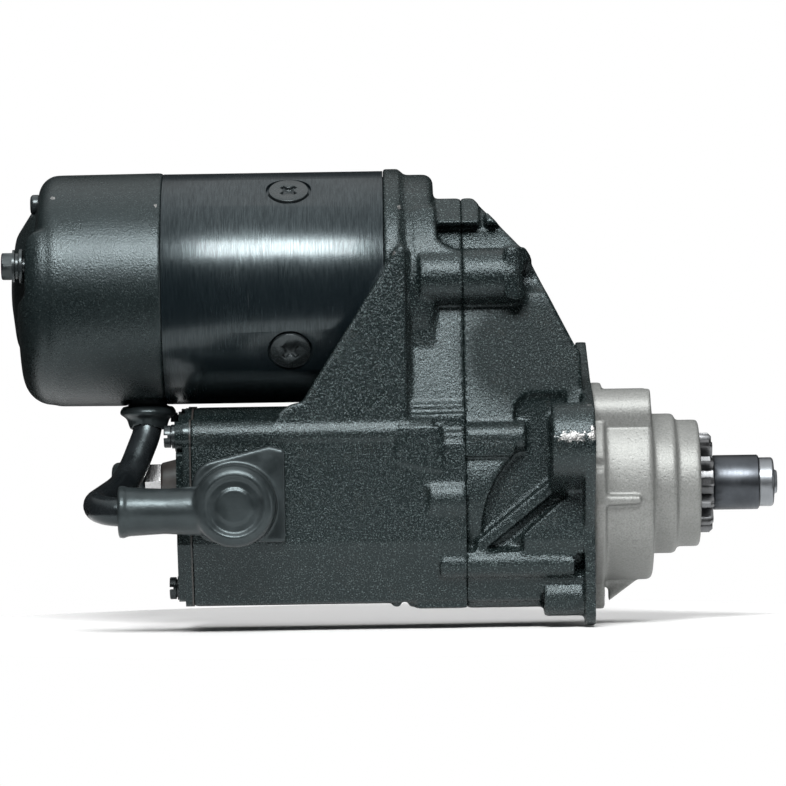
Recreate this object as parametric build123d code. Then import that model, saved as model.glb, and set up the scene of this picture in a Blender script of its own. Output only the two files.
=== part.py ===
"""Offset-gear-reduction starter motor: every piece as a separate solid, one STEP file for each node.

Frame: +X along the pinion axis towards the nose, +Z up, origin where the pinion axis meets the mounting face.
The motor lies above the pinion axis and slightly behind it, and the magnetic switch lies on the pinion axis.
All sizes are in millimetres.
"""
from build123d import *
from math import acos, cos, degrees, pi, radians, sin, sqrt, tan
import os

# Driving dimensions
MOTOR_Y, MOTOR_Z = 9.0, 77.0          # the motor axis, from the pinion axis
YOKE_R, YOKE_WALL = 44.0, 5.0         # field frame tube
YOKE_X0, YOKE_X1 = -161.0, -77.5      # its rear and front ends
SPLIT_X = -48.0                       # joint between the gear housing and the drive housing
SWITCH_X0 = -150.5                    # rear face of the magnetic switch body
SWITCH_BORE_R = 28.5
NEAR_Y = -40.0                        # flat near side of the gear housing
FLANGE_T = 4.0                        # mounting flange thickness
BOLT_HOLE_R = 5.25                    # M10 clearance
BOLT_CIRCLE_R = 49.0                  # two opposite flange holes lie on this circle
NEAR_EAR = (-46.5, 17.0)              # Y and Z of the third flange hole
STROKE = 16.0                         # travel of the plunger and of the pinion shaft

# Gear train: armature pinion, idler gear and clutch gear
MODULE, PRESSURE_ANGLE = 2.0, 25.0
ARMATURE_TEETH, IDLER_TEETH, CLUTCH_TEETH = 10, 20, 34
GEAR_X0, GEAR_X1 = -61.5, -50.0       # gear faces
BACKLASH = 0.36                       # taken off each tooth at the pitch circle

# Output pinion
PINION_TEETH, PINION_MODULE, PINION_TIP_R = 13, 2.5, 19.0
PINION_X0, PINION_X1 = 31.2, 46.0

FIT = 0.05                            # radial clearance of a fixed fit or a running fit


def idler_axis():
    """Y and Z of the idler axis, at its mesh distance from both other gears, on the far side."""
    to_clutch = MODULE * (CLUTCH_TEETH + IDLER_TEETH) / 2
    to_armature = MODULE * (ARMATURE_TEETH + IDLER_TEETH) / 2
    span = sqrt(MOTOR_Y**2 + MOTOR_Z**2)
    along = (to_clutch**2 - to_armature**2 + span**2) / (2 * span)
    aside = sqrt(to_clutch**2 - along**2)
    unit_y, unit_z = MOTOR_Y / span, MOTOR_Z / span
    return along * unit_y + aside * unit_z, along * unit_z - aside * unit_y


IDLER_Y, IDLER_Z = idler_axis()


# ---- shape helpers -------------------------------------------------------------------------------

def rod(x0, x1, y, z, r):
    """A cylinder along X."""
    body = Cylinder(r, x1 - x0, align=(Align.CENTER, Align.CENTER, Align.MIN))
    return Pos(x0, y, z) * Rot(0, 90, 0) * body


def ring(x0, x1, y, z, outer, inner):
    """A plain ring along X."""
    return rod(x0, x1, y, z, outer) - rod(x0 - 1, x1 + 1, y, z, inner)


def block(x0, x1, y0, y1, z0, z1):
    """A box between two corners."""
    return Pos(x0, y0, z0) * Box(x1 - x0, y1 - y0, z1 - z0, align=(Align.MIN,) * 3)


def rounded_face(corners):
    """A flat face through (u, v, radius) corners, each rounded to its own radius."""
    face = make_face(Polyline(*[(u, v) for u, v, _ in corners], close=True))
    for u, v, radius in corners:
        if radius:
            face = fillet(face.vertices().sort_by_distance((u, v, 0))[0], radius)
    return face


def turned(corners, y=0.0, z=0.0):
    """A solid of revolution about an axis along X, from (x, radius, corner radius) corners."""
    return Pos(0, y, z) * revolve(rounded_face(corners), Axis.X)


def side_plate(corners, y0, y1):
    """An XZ outline of (x, z, corner radius) corners, extruded from y0 to y1."""
    return side_solid(rounded_face(corners), y0, y1)


def top_plate(corners, z0, z1):
    """An XY outline of (x, y, corner radius) corners, extruded from z0 to z1."""
    return Pos(0, 0, z0) * extrude(rounded_face(corners), z1 - z0, dir=(0, 0, 1))


def side_solid(face, y0, y1):
    """A face drawn with X to the right and Z up, extruded from y0 to y1."""
    return Pos(0, y1, 0) * extrude(Plane.XZ * face, y1 - y0, dir=(0, -1, 0))


def end_plate(face, x0, x1):
    """A face drawn with Y to the right and Z up, extruded from x0 to x1."""
    return Pos(x0, 0, 0) * extrude(Plane.YZ * face, x1 - x0, dir=(1, 0, 0))


def circle_hull(*circles):
    """The convex outline round (y, z, radius) circles, drawn with Y to the right and Z up."""
    return make_hull([edge for y, z, r in circles for edge in (Pos(y, z) * Circle(r)).edges()])


def round_array(piece, count, y=0.0, z=0.0, start=0.0):
    """Copies of a piece turned about an axis along X through (y, z)."""
    about = Pos(0, y, z)
    return [about * Rot(start + 360 * i / count, 0, 0) * piece for i in range(count)]


def coil(x0, x1, y, z, r, wire_r, turns):
    """A round-wire helical spring along X, from its first wire's rear side to its last wire's front side."""
    height = x1 - x0 - 2 * wire_r
    path = Helix(pitch=height / turns, height=height, radius=r)
    wire = sweep(Plane(origin=path @ 0, z_dir=path % 0) * Circle(wire_r), path=path)
    return Pos(x0 + wire_r, y, z) * Rot(0, 90, 0) * wire


def gear_face(teeth, module, phase, tip_r=None, pressure=PRESSURE_ANGLE, addendum=0.9, dedendum=1.2):
    """An involute gear outline, drawn with Y to the right and Z up, with a tooth centred at angle phase."""
    pitch_r = module * teeth / 2
    base_r = pitch_r * cos(radians(pressure))
    tip_r = tip_r or pitch_r + addendum * module
    root_r = pitch_r - dedendum * module
    involute = lambda r: tan(acos(min(1.0, base_r / r))) - acos(min(1.0, base_r / r))
    half_pitch = (pi * module / 2 - BACKLASH) / 2 / pitch_r + involute(pitch_r)
    steps = 5
    low_r = max(base_r, root_r)
    flank = [low_r + (tip_r - low_r) * i / steps for i in range(steps + 1)]
    half = [(r, half_pitch - involute(r)) for r in flank]
    if root_r < base_r:
        half.insert(0, (root_r, half_pitch))
    points = []
    for tooth in range(teeth):
        centre = radians(phase) + 2 * pi * tooth / teeth
        side = [(r, centre - a) for r, a in half] + [(r, centre + a) for r, a in reversed(half)]
        points += [(r * cos(a), r * sin(a)) for r, a in side]
    return make_face(Polyline(*points, close=True))


def meshing_phase(driver_phase, driver_teeth, teeth, toward):
    """Tooth angle of a gear that meshes with a driver, where toward is the angle from the driver to it."""
    ahead = driver_phase - toward
    return toward + 180 - ahead * driver_teeth / teeth + 180 / teeth


def angle_to(y, z):
    """Angle of a direction from +Y towards +Z, in degrees."""
    return Vector(1, 0, 0).get_signed_angle(Vector(y, z, 0))


IDLER_PHASE = angle_to(-IDLER_Y, -IDLER_Z)
CLUTCH_PHASE = meshing_phase(IDLER_PHASE, IDLER_TEETH, CLUTCH_TEETH, angle_to(-IDLER_Y, -IDLER_Z))
ARMATURE_PHASE = meshing_phase(IDLER_PHASE, IDLER_TEETH, ARMATURE_TEETH,
                               angle_to(MOTOR_Y - IDLER_Y, MOTOR_Z - IDLER_Z))


# ---- motor ---------------------------------------------------------------------------------------

POLE_ANGLE = 34.3                     # first pole, from +Y towards +Z
POLE_X = -113.0
POLE_SCREW_R, POLE_SEAT_R = 7.5, 8.6
POLE_FACE_R, POLE_BACK_R = 28.2, YOKE_R - YOKE_WALL - FIT
THROUGH_BOLTS = [(-25.9, 85.8), (43.9, 68.2)]      # Y and Z of the two long bolts
BRUSH_SCREWS = [(-1.0, 109.7), (19.0, 44.3)]       # Y and Z of the brush holder screws
COVER_FACE_X = -208.5                 # lowest level of the end face
BEARING_X0, BEARING_X1 = -206.5, -197.5            # rear armature bearing
FRONT_BEARING_X0, FRONT_BEARING_X1 = -76.0, -66.0
COMMUTATOR_X0, COMMUTATOR_X1, COMMUTATOR_R = -180.0, -156.0, 17.0


def end_cover():
    """Deep cup over the commutator, with a stepped end face and a domed bearing seat."""
    shell = turned([(YOKE_X0, 0, 0), (YOKE_X0, 44.5, 0.6), (-200, 44.2, 0), (COVER_FACE_X, 44.0, 7.5),
                    (COVER_FACE_X, 0, 0)], MOTOR_Y, MOTOR_Z)
    raised = turned([(-195, 0, 0), (-195, 44.1, 0), (-199, 44.1, 0), (-215.5, 42.6, 11), (-215.5, 0, 0)],
                    MOTOR_Y, MOTOR_Z)
    low_steps = side_plate([(-212.3, 95.5, 3), (-208.5, 99, 3), (-190, 99, 0), (-190, 140, 0), (-230, 140, 0),
                            (-230, 71, 0), (-215.5, 71, 2), (-212.3, 75, 2)], -40, 60)
    dome = turned([(-200, 0, 0), (-200, 33.5, 0), (-209.5, 33.5, 4), (-217.6, 21, 9), (-219.6, 7, 4),
                   (-219.6, 0, 0)], MOTOR_Y, MOTOR_Z)
    shell = shell + (raised - low_steps) + dome
    shell -= rod(-206.0, YOKE_X0 + 1, MOTOR_Y, MOTOR_Z, 40.0) - rod(-207.0, -196.5, MOTOR_Y, MOTOR_Z, 20.0)
    shell -= rod(BEARING_X0, -190, MOTOR_Y, MOTOR_Z, 16.0 + FIT)
    shell -= rod(-213.5, -200, MOTOR_Y, MOTOR_Z, 9.0)
    for y, z in THROUGH_BOLTS:
        shell += rod(-212, YOKE_X0 - 2, y, z, 4.6) & rod(-230, -150, MOTOR_Y, MOTOR_Z, 43.0)
        shell -= rod(-230, -213.0, y, z, 7.6)
        shell -= rod(-230, -150, y, z, 3.2)
    for y, z in BRUSH_SCREWS:
        shell -= rod(-230, COVER_FACE_X, y, z, 5.0)
        shell -= rod(-230, -200, y, z, 2.2)
    return shell - block(-176, YOKE_X0 + 1, -4, 12, 20, 45)


def yoke():
    """Field frame tube with four countersunk pole screw seats."""
    tube = ring(YOKE_X0, YOKE_X1, MOTOR_Y, MOTOR_Z, YOKE_R, YOKE_R - YOKE_WALL)
    seat = Pos(POLE_X, YOKE_R, 0) * Rot(-90, 0, 0) * (
        Cylinder(POLE_SEAT_R, 3.6) + Cylinder(4.1, 20))
    for cut in round_array(seat, 4, MOTOR_Y, MOTOR_Z, POLE_ANGLE):
        tube -= cut
    return tube


def pole_shoes():
    """Four curved pole shoes with lips that hold the field coils."""
    shoe = block(-138, -88, 20, 50, -18.5, 18.5) & ring(-140, -86, 0, 0, 33.2, POLE_FACE_R)
    shoe += block(-138, -88, 30, 50, -13, 13) & ring(-140, -86, 0, 0, POLE_BACK_R, POLE_FACE_R)
    shoe -= Pos(POLE_X, YOKE_R, 0) * Rot(-90, 0, 0) * Cylinder(4.05, 24)
    return round_array(shoe, 4, MOTOR_Y, MOTOR_Z, POLE_ANGLE)


def pole_screws():
    """Four cross-recess countersunk screws, flush in the field frame."""
    head = Cylinder(POLE_SCREW_R, 1.6, align=(Align.CENTER, Align.CENTER, Align.MIN))
    shank = Cylinder(3.9, 9.0, align=(Align.CENTER, Align.CENTER, Align.MAX))
    slot = Box(7.4, 1.9, 2.6) + Box(1.9, 7.4, 2.6) + Cylinder(2.1, 2.6)
    screw = head + shank - Pos(0, 0, 1.6) * Rot(0, 0, 45) * slot
    placed = Pos(POLE_X, YOKE_R - 1.75, 0) * Rot(-90, 0, 0) * screw
    return round_array(placed, 4, MOTOR_Y, MOTOR_Z, POLE_ANGLE)


def field_coils():
    """Four flat wound coils, each round its pole and behind the pole lips."""
    outline = rounded_face([(-144, -19.6, 5), (-82, -19.6, 5), (-82, 19.6, 5), (-144, 19.6, 5)])
    window = rounded_face([(-138.4, -13.4, 1), (-87.6, -13.4, 1), (-87.6, 13.4, 1), (-138.4, 13.4, 1)])
    winding = side_solid(outline - window, 10, 60) & ring(-150, -80, 0, 0, POLE_BACK_R - 0.4, 33.6)
    return round_array(winding, 4, MOTOR_Y, MOTOR_Z, POLE_ANGLE)


def hexagon_head(x0, x1, y, z, across, turn=0.0):
    """A hexagon head along X."""
    face = Rot(0, 0, turn) * RegularPolygon(across / 2, 6, major_radius=False)
    return end_plate(Pos(y, z) * face, x0, x1)


def through_bolts():
    """Two long bolts from the end cover into the gear housing."""
    bolts = []
    for y, z in THROUGH_BOLTS:
        head = hexagon_head(-221, -216.8, y, z, 10, 12) + rod(-217.2, -216.0, y, z, 6.2)
        bolts.append(head + rod(-216.5, -72.5, y, z, 2.95))
    return bolts


def bolt_washers():
    """A split washer and a flat washer under each long bolt's head."""
    rings = []
    for y, z in THROUGH_BOLTS:
        rings.append(ring(-216.0, -214.4, y, z, 5.0, 3.1) - block(-217, -213, y - 0.5, y + 0.5, z, z + 9))
        rings.append(ring(-214.4, -213.0, y, z, 6.6, 3.1))
    return rings


def brush_holder():
    """Insulated plate with four brush boxes."""
    plate = ring(-190, -187.5, MOTOR_Y, MOTOR_Z, 39.4, 19.5)
    box = block(-187.6, -166, 20.5, 30.9, -7.0, 7.0) - block(-186.0, -165, 19, 35, -5.1, 5.1)
    for part in round_array(box, 4, MOTOR_Y, MOTOR_Z, POLE_ANGLE):
        plate += part
    for y, z in THROUGH_BOLTS:
        plate -= rod(-195, -160, y, z, 5.2)
    for y, z in BRUSH_SCREWS:
        plate -= rod(-195, -180, y, z, 2.2)
    return plate


def brushes():
    """Four carbon brushes, pressed on the commutator."""
    brush = block(-185.0, -168.5, 16.0, 30.9, -5.0, 5.0)
    brush -= rod(-190, -150, 0, 0, COMMUTATOR_R + FIT)
    return round_array(brush, 4, MOTOR_Y, MOTOR_Z, POLE_ANGLE)


def brush_springs():
    """Four leaf arms behind the brushes."""
    arm = block(-184.0, -170.0, 30.9, 31.7, -4.6, 11.5) + block(-187.5, -170.0, 26.0, 31.7, 10.7, 11.5)
    return round_array(arm, 4, MOTOR_Y, MOTOR_Z, POLE_ANGLE)


def brush_holder_screws():
    """Two pan-head screws through the end face into the brush holder."""
    screws = []
    for y, z in BRUSH_SCREWS:
        profile = [(-211.6, 0, 0), (-211.6, 3.9, 1.4), (COVER_FACE_X, 3.9, 0), (COVER_FACE_X, 0, 0)]
        head = turned(profile, y, z)
        slot = block(-213, -210.4, y - 2.4, y + 2.4, z - 0.5, z + 0.5)
        slot += block(-213, -210.4, y - 0.5, y + 0.5, z - 2.4, z + 2.4)
        screws.append(head + rod(-209, -186.5, y, z, 2.1) - slot)
    return screws


def armature_shaft():
    """Armature shaft with its pinion cut on the front end."""
    shaft = turned([(-208, 0, 0), (-208, 6.0, 0.6), (-196, 6.0, 0), (-196, 8.4, 0), (-152, 8.4, 0),
                    (-152, 10.5, 0), (-80, 10.5, 0), (-80, 8.5, 0), (-64, 8.5, 0), (-64, 6.8, 0),
                    (-49.5, 6.8, 0.6), (-49.5, 0, 0)], MOTOR_Y, MOTOR_Z)
    teeth = end_plate(Pos(MOTOR_Y, MOTOR_Z) * gear_face(ARMATURE_TEETH, MODULE, ARMATURE_PHASE), -63, -50)
    return shaft + teeth


def armature_core():
    """Laminated core with its winding slots."""
    core = ring(-138, -88, MOTOR_Y, MOTOR_Z, 27.6, 10.5 + FIT)
    slot = block(-140, -86, 19.5, 28.5, -1.1, 1.1)
    for cut in round_array(slot, 19, MOTOR_Y, MOTOR_Z):
        core -= cut
    return core


def armature_windings():
    """Bar winding: the end turns at both ends of the core, joined through its slots."""
    rear = turned([(-152, 10.6, 0), (-152, 19, 3), (-138.1, 26.2, 1), (-138.1, 10.6, 0)], MOTOR_Y, MOTOR_Z)
    front = turned([(-87.9, 10.6, 0), (-87.9, 26.2, 1), (-81, 21, 2), (-81, 10.6, 0)], MOTOR_Y, MOTOR_Z)
    windings = rear + front
    bar = block(-139, -87, 19.8, 26.5, -0.95, 0.95)
    for piece in round_array(bar, 19, MOTOR_Y, MOTOR_Z):
        windings += piece
    return windings


def commutator():
    """Copper segments parted by undercut slots."""
    drum = ring(COMMUTATOR_X0, -152.1, MOTOR_Y, MOTOR_Z, COMMUTATOR_R, 8.4 + FIT)
    drum += ring(-156, -152.1, MOTOR_Y, MOTOR_Z, 18.8, 8.4 + FIT)
    slot = block(-181, -151, 15.6, 20, -0.35, 0.35)
    for cut in round_array(slot, 19, MOTOR_Y, MOTOR_Z):
        drum -= cut
    return drum


def bearing_rings(seats, inner):
    """The outer or the inner race of each ball bearing in seats."""
    races = []
    for x0, x1, y, z, outer_r, bore_r in seats:
        ball_r, pitch_r = bearing_ball(outer_r, bore_r)
        low, high = (bore_r, pitch_r - ball_r * 0.45) if inner else (pitch_r + ball_r * 0.45, outer_r)
        middle = (x0 + x1) / 2
        groove = Pos(middle, y, z) * Rot(0, 90, 0) * Torus(pitch_r, ball_r + 0.08)
        races.append(ring(x0, x1, y, z, high, low) - groove)
    return races


def bearing_ball(outer_r, bore_r):
    """Ball radius and pitch radius of a bearing of that size."""
    return (outer_r - bore_r) * 0.3, (outer_r + bore_r) / 2


def bearing_balls(seats, count=8):
    """The balls of each bearing in seats."""
    balls = []
    for x0, x1, y, z, outer_r, bore_r in seats:
        ball_r, pitch_r = bearing_ball(outer_r, bore_r)
        ball = Pos((x0 + x1) / 2, pitch_r, 0) * Sphere(ball_r)
        balls += round_array(ball, count, y, z)
    return balls


ARMATURE_SEATS = [(BEARING_X0, BEARING_X1, MOTOR_Y, MOTOR_Z, 16.0, 6.0 + FIT),
                  (FRONT_BEARING_X0, FRONT_BEARING_X1, MOTOR_Y, MOTOR_Z, 17.5, 8.5 + FIT)]


# ---- housings ------------------------------------------------------------------------------------

NEAR_TUBE = (-34.6, 21.0)             # Y and Z of the near upper switch screw
FAR_TUBE = (27.0, 25.6)
LOW_SCREW = (-9.0, -36.7)
SWITCH_SCREWS = [NEAR_TUBE, FAR_TUBE, LOW_SCREW]
BIG_BOSS = (-26.5, 79.5)              # Y and Z of the upper housing bolt
LOW_BOSS = (-33.0, -28.3)             # Y and Z of the lower housing bolt
CLUTCH_BEARING_X0, CLUTCH_BEARING_X1 = -74.0, -64.0
NOSE_BEARING_X0, NOSE_BEARING_X1 = 13.0, 25.0
CLUTCH_SEATS = [(CLUTCH_BEARING_X0, CLUTCH_BEARING_X1, 0, 0, 22.0, 14.0 + FIT),
                (NOSE_BEARING_X0, NOSE_BEARING_X1, 0, 0, 21.0, 12.0 + FIT)]
STUD_X, STUD_Z = -134.0, -5.0         # motor stud on the near side of the switch
BATTERY_Y, BATTERY_Z = 14.0, 3.5      # battery stud through the switch cover


def gear_space(x0, x1):
    """The room that the three gears need."""
    return (rod(x0, x1, MOTOR_Y, MOTOR_Z, 13.6) + rod(x0, x1, IDLER_Y, IDLER_Z, 23.2)
            + rod(x0, x1, 0, 0, 37.3))


def chamber_outline():
    """Outer outline of the gear case."""
    return circle_hull((MOTOR_Y, MOTOR_Z, 32.5), (0, 0, 40.0), (IDLER_Y, IDLER_Z, 27.0))


def switch_section():
    """Cross-section of the magnetic switch body: a round top on a six-sided base."""
    base = rounded_face([(NEAR_Y, 17, 0), (NEAR_Y, -20, 3), (-29, -43, 3), (24, -43, 3), (35, -20, 3),
                         (35, 8, 3), (0, 26, 0)])
    return base + Circle(31.5)


def gear_housing():
    """Casting that carries the motor, the gears and the magnetic switch."""
    body = turned([(YOKE_X1, 0, 0), (YOKE_X1, 44.7, 0.4), (-71.6, 44.7, 0.8), (-69.2, 42.4, 0.8),
                   (-58.3, 42.4, 3.8), (-58.3, 0, 0)], MOTOR_Y, MOTOR_Z)
    body += end_plate(chamber_outline(), -70, SPLIT_X)
    body += end_plate(switch_section(), SWITCH_X0, SPLIT_X)
    body += near_side_features()
    body += rod(SWITCH_X0, -60, *NEAR_TUBE, 6.3) + rod(SWITCH_X0, -72, *FAR_TUBE, 6.0)
    body += rod(-64, SPLIT_X, *BIG_BOSS, 10.5) + rod(-61.8, SPLIT_X, -33.2, -4.0, 9.0)
    for y, z in THROUGH_BOLTS:
        body += rod(YOKE_X1, -64, y, z, 6.5) & rod(-90, -50, MOTOR_Y, MOTOR_Z, 42.0)
    body += rod(-58, SPLIT_X, *LOW_BOSS, 5.6)
    body += end_plate(roof_ridge(), -60, SPLIT_X)
    return body - gear_housing_bores()


def roof_ridge():
    """Cross-section of the sloped ridge on the near side of the gear case's roof."""
    return rounded_face([(MOTOR_Y, 109.4, 0), (-11.0, 109.4, 1.0), (-23.5, 99.4, 0.8), (-10.0, 97.0, 0),
                         (MOTOR_Y, 97.0, 0)])


def near_side_features():
    """Gusset, ribs and pads that stand on the near side of the gear housing."""
    outline = Polyline((-69.5, 20), (-69.5, 91), (-72.0, 91), (-109.0, 33.0))
    sweep_in = RadiusArc((-109.0, 33.0), (-119.0, 26.6), -11)
    foot = Polyline((-119.0, 26.6), (-119.0, 20), (-69.5, 20))
    face = make_face(outline.edges() + sweep_in.edges() + foot.edges())
    gusset = side_solid(face, -39.6, -28)
    gusset += top_plate([(-74.0, -39.6, 0), (-68.0, -33.5, 1.0), (-68.0, -26, 0), (-74.0, -26, 0)], 23, 89)
    # pads below the gear case wall
    gusset += side_plate([(-73.6, 10, 1), (-57.0, 6.5, 1), (-57.0, 23.3, 1), (-73.6, 23.3, 1)], -40.8, -30)
    gusset += side_plate([(-57.5, 5.0, 0), (SPLIT_X, 5.0, 0), (SPLIT_X, 21, 0), (-57.5, 21, 2)], -39.0, -30)
    gusset += side_plate([(-71.0, 22.0, 0), (SPLIT_X, 22.0, 0), (SPLIT_X, 28.0, 0), (-71.0, 28.0, 1)],
                         -37.0, -28)
    gusset += side_plate([(-71.0, 22.0, 0), (SPLIT_X, 22.0, 0), (SPLIT_X, 31.5, 1), (-71.0, 31.5, 1)],
                         -35.2, -28)
    # web that carries the upper bolt boss into the motor cup
    gusset += side_plate([(-66, 74, 0), (-66, 106, 0), (-58.0, 106, 0), (-57.2, 92.5, 4.5), (SPLIT_X, 88, 0),
                          (SPLIT_X, 74, 0)], -36, -16) & rod(-70, -40, MOTOR_Y, MOTOR_Z, 42.9)
    gusset += side_plate([(-68.5, 50, 0), (-59.5, 50, 3), (-59.5, 76, 0), (-68.5, 76, 0)], -29.5, -16)
    # underside strip and drain lug
    gusset += block(-67, SPLIT_X, -28, 14, -45.2, -37) + block(-76, -66, -24, -10, -44.6, -38)
    gusset -= rod(-90, -70, MOTOR_Y, MOTOR_Z, 30) + rod(-130, YOKE_X1, MOTOR_Y, MOTOR_Z, YOKE_R + 0.3)
    return gusset


def gear_housing_bores():
    """Everything that is bored out of the gear housing."""
    cut = gear_space(-63.5, SPLIT_X + 1)
    cut += rod(FRONT_BEARING_X0, -60, MOTOR_Y, MOTOR_Z, 14.5)
    cut += rod(FRONT_BEARING_X0 - 3, FRONT_BEARING_X1, MOTOR_Y, MOTOR_Z, 17.5 + FIT)
    cut += ring(YOKE_X1 - 1, YOKE_X1 + 1.65, MOTOR_Y, MOTOR_Z, 42.4, 40.6)
    cut += rod(SWITCH_X0 - 1, -80, 0, 0, SWITCH_BORE_R)
    cut += rod(-81, -60, 0, 0, 4.7) + rod(CLUTCH_BEARING_X0, -60, 0, 0, 22.0 + FIT)
    cut += rod(-69, -60, IDLER_Y, IDLER_Z, 6.0 + FIT)
    cut += Pos(STUD_X, NEAR_Y, STUD_Z) * Rot(90, 0, 0) * Cylinder(7.0 + FIT, 40)
    cut += Pos(-71.5, -17, -44) * Rot(90, 0, 0) * Cylinder(1.6, 40)
    for y, z in SWITCH_SCREWS:
        cut += rod(SWITCH_X0 - 1, -134, y, z, 2.55)
    for y, z in THROUGH_BOLTS:
        cut += rod(-90, -72, y, z, 3.0)
    for y, z in (BIG_BOSS, LOW_BOSS):
        cut += rod(-58, SPLIT_X + 1, y, z, 3.05)
    return cut


def flange_holes():
    """Y and Z of the three flange holes: two opposite each other, and one in the near ear."""
    bearing = radians(122.5)
    y, z = -BOLT_CIRCLE_R * cos(bearing), BOLT_CIRCLE_R * sin(bearing)
    return [(y, z), (-y, -z), NEAR_EAR]


def drive_housing():
    """Front casting: it closes the gear case, holds the clutch and carries the mounting flange."""
    far_ear, low_ear, near_ear = flange_holes()
    roof = side_plate([(SPLIT_X, 109.5, 0), (-43.5, 109.5, 1.5), (-24.0, 88.4, 3), (-6.5, 53.5, 2),
                       (-FLANGE_T, 50, 0), (-FLANGE_T, -46, 0), (SPLIT_X, -46, 0)], -60, 60)
    body = end_plate(chamber_outline(), SPLIT_X, -FLANGE_T) & roof
    body += end_plate(roof_ridge(), SPLIT_X, -41.0) & roof
    body += end_plate(roof_ridge(), -39.0, -20.0) & roof & block(-39, -20, -21.5, 20, 80, 110)
    body += end_plate(switch_section(), SPLIT_X, -FLANGE_T) & block(-60, 0, -60, 60, -46, 17)
    body -= near_pockets()
    body -= block(SPLIT_X - 1, -27, -60, -20, -24, 12) - rod(SPLIT_X - 2, -20, 0, 0, 39.3)
    body += end_plate(circle_hull((*near_ear, 14.5), (-30, 10, 14)), -16, 0)
    body += rod(SPLIT_X, -25.4, -34.4, 19.0, 5.6)
    body += rod(SPLIT_X, -28, *BIG_BOSS, 10.5)
    body += side_plate([(-32, 71, 1), (-32, 90, 1), (-24.5, 90, 1.5), (-21.5, 85.5, 1.2), (-25.0, 69.0, 3)],
                       -40, -16) & top_plate([(-32, -36.4, 0), (-27.5, -36.4, 1.5), (-21.0, -27.5, 1), (-21, -16, 0),
                                              (-32, -16, 0)], 60, 92)
    body += rod(SPLIT_X, -7.6, *LOW_BOSS, 5.6) + rod(SPLIT_X, -20, -22, -40.6, 4.8)
    body += rod(-19.2, -FLANGE_T, *low_ear, 7.4) + rod(-14, -FLANGE_T, *far_ear, 10.5)
    rib = side_plate([(-16.5, 2.5, 0), (-16.5, -3.5, 0), (-44.5, -25.5, 0), (-44.5, -20.0, 0)], -37.0, -24)
    body += rib
    flange = circle_hull((*far_ear, 13.2), (0, 0, 42.5)) + circle_hull((*low_ear, 11.2), (0, 0, 42.5))
    flange += circle_hull((*near_ear, 14.5), (0, 0, 42.5))
    body += end_plate(flange, -FLANGE_T, 0)
    for y, z in NOSE_SCREWS[1:]:
        body += end_plate(circle_hull((y, z, 5.8), (0, z / 2, 25)), -13.5, 0)
    return body - drive_housing_bores()


def near_pockets():
    """Recesses on the near side of the drive housing."""
    pocket = Polyline((-42.4, -16.7), (-46.0, -30.0), (-30.0, -20), (-10, -3), (-10, 34.6), (-22.5, 34.6))
    corner = RadiusArc((-22.5, 34.6), (-29.5, 28.0), -7.2)
    side = Polyline((-29.5, 28.0), (-29.5, 13))
    edge = RadiusArc((-29.5, 13), (-42.4, -16.7), -44)
    face = make_face(pocket.edges() + corner.edges() + side.edges() + edge.edges())
    cut = side_solid(face, -60, -32.0)
    cut += side_plate([(-28.8, 47.3, 0), (-2, 47.3, 0), (-2, 62, 0), (-28.8, 68, 0)], -60, -30.5) - block(
        -60, 0, -33.0, 0, 40, 70)
    return cut


def drive_housing_bores():
    """Everything that is bored out of the drive housing."""
    cut = gear_space(SPLIT_X - 1, -46.5)
    cut += rod(-47, 1, 0, 0, 29.5)
    cut += rod(SPLIT_X - 1, -42, IDLER_Y, IDLER_Z, 6.0 + FIT)
    for y, z in flange_holes():
        cut += rod(-40, 1, y, z, BOLT_HOLE_R) & rod(-20, 1, y, z, 20)
    for y, z in (BIG_BOSS, LOW_BOSS):
        cut += rod(SPLIT_X - 1, 0, y, z, 3.05)
    cut += rod(-30.0, 1, *BIG_BOSS, 6.4) + rod(-13.6, -FLANGE_T, *LOW_BOSS, 5.0)
    for y, z in NOSE_SCREWS:
        cut += rod(-12, 1, y, z, 2.1)
    return cut


NOSE_SCREWS = [(-2.5, -42.6), (37.9, 19.3), (35.7, -23.2)]


def nose_housing():
    """Bare aluminium nose that guides the pinion."""
    body = turned([(-6, 0, 0), (-6, 29.4, 0.5), (0, 29.4, 0), (0, 38.8, 0), (4.4, 38.8, 0.8), (4.4, 36.4, 0),
                   (22.7, 36.4, 2.2), (22.7, 26.6, 0.8), (32.0, 26.6, 1.6), (32.0, 24.1, 0.5),
                   (41.0, 24.1, 1.3), (41.0, 0, 0)])
    for y, z in NOSE_SCREWS:
        body += end_plate(circle_hull((y, z + 1.1 if y < 0 else z, 5.8), (0, z / 2, 16)), 0, 4.4)
    gusset = side_plate([(0, -30, 0), (0, -45.5, 0), (4.4, -45.5, 0), (17.5, -36.0, 0), (17.5, -30, 0)],
                        -4.5, -0.5)
    body += gusset
    body += end_plate(circle_hull((-21.5, 27.0, 9.2), (-10, 15, 9)), 0, 22.0)
    body += side_plate([(0, -7.2, 0), (0, -3.4, 0), (17.6, -3.7, 1.6), (17.6, -6.9, 1.6)], -38.4, -30)
    cut = rod(-7, 8, 0, 0, 26.9) + rod(8, NOSE_BEARING_X1, 0, 0, 21.0 + FIT)
    cut += rod(8, 28, 0, 0, 18.6) + rod(27.6, 42, 0, 0, 20.2)
    cut += block(-1, 4.6, -42, -37.2, 6.2, 10.2)
    for y, z in NOSE_SCREWS:
        cut += rod(-1, 6, y, z, 2.15) + rod(1.2, 6, y, z, 3.9)
    return body - cut


def nose_screws():
    """Three socket screws that hold the nose on the drive housing."""
    screws = []
    for y, z in NOSE_SCREWS:
        screw = rod(1.2, 4.6, y, z, 3.7) + rod(-11.5, 1.5, y, z, 2.0)
        screws.append(screw - hexagon_head(2.6, 5, y, z, 3.4))
    return screws


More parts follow.
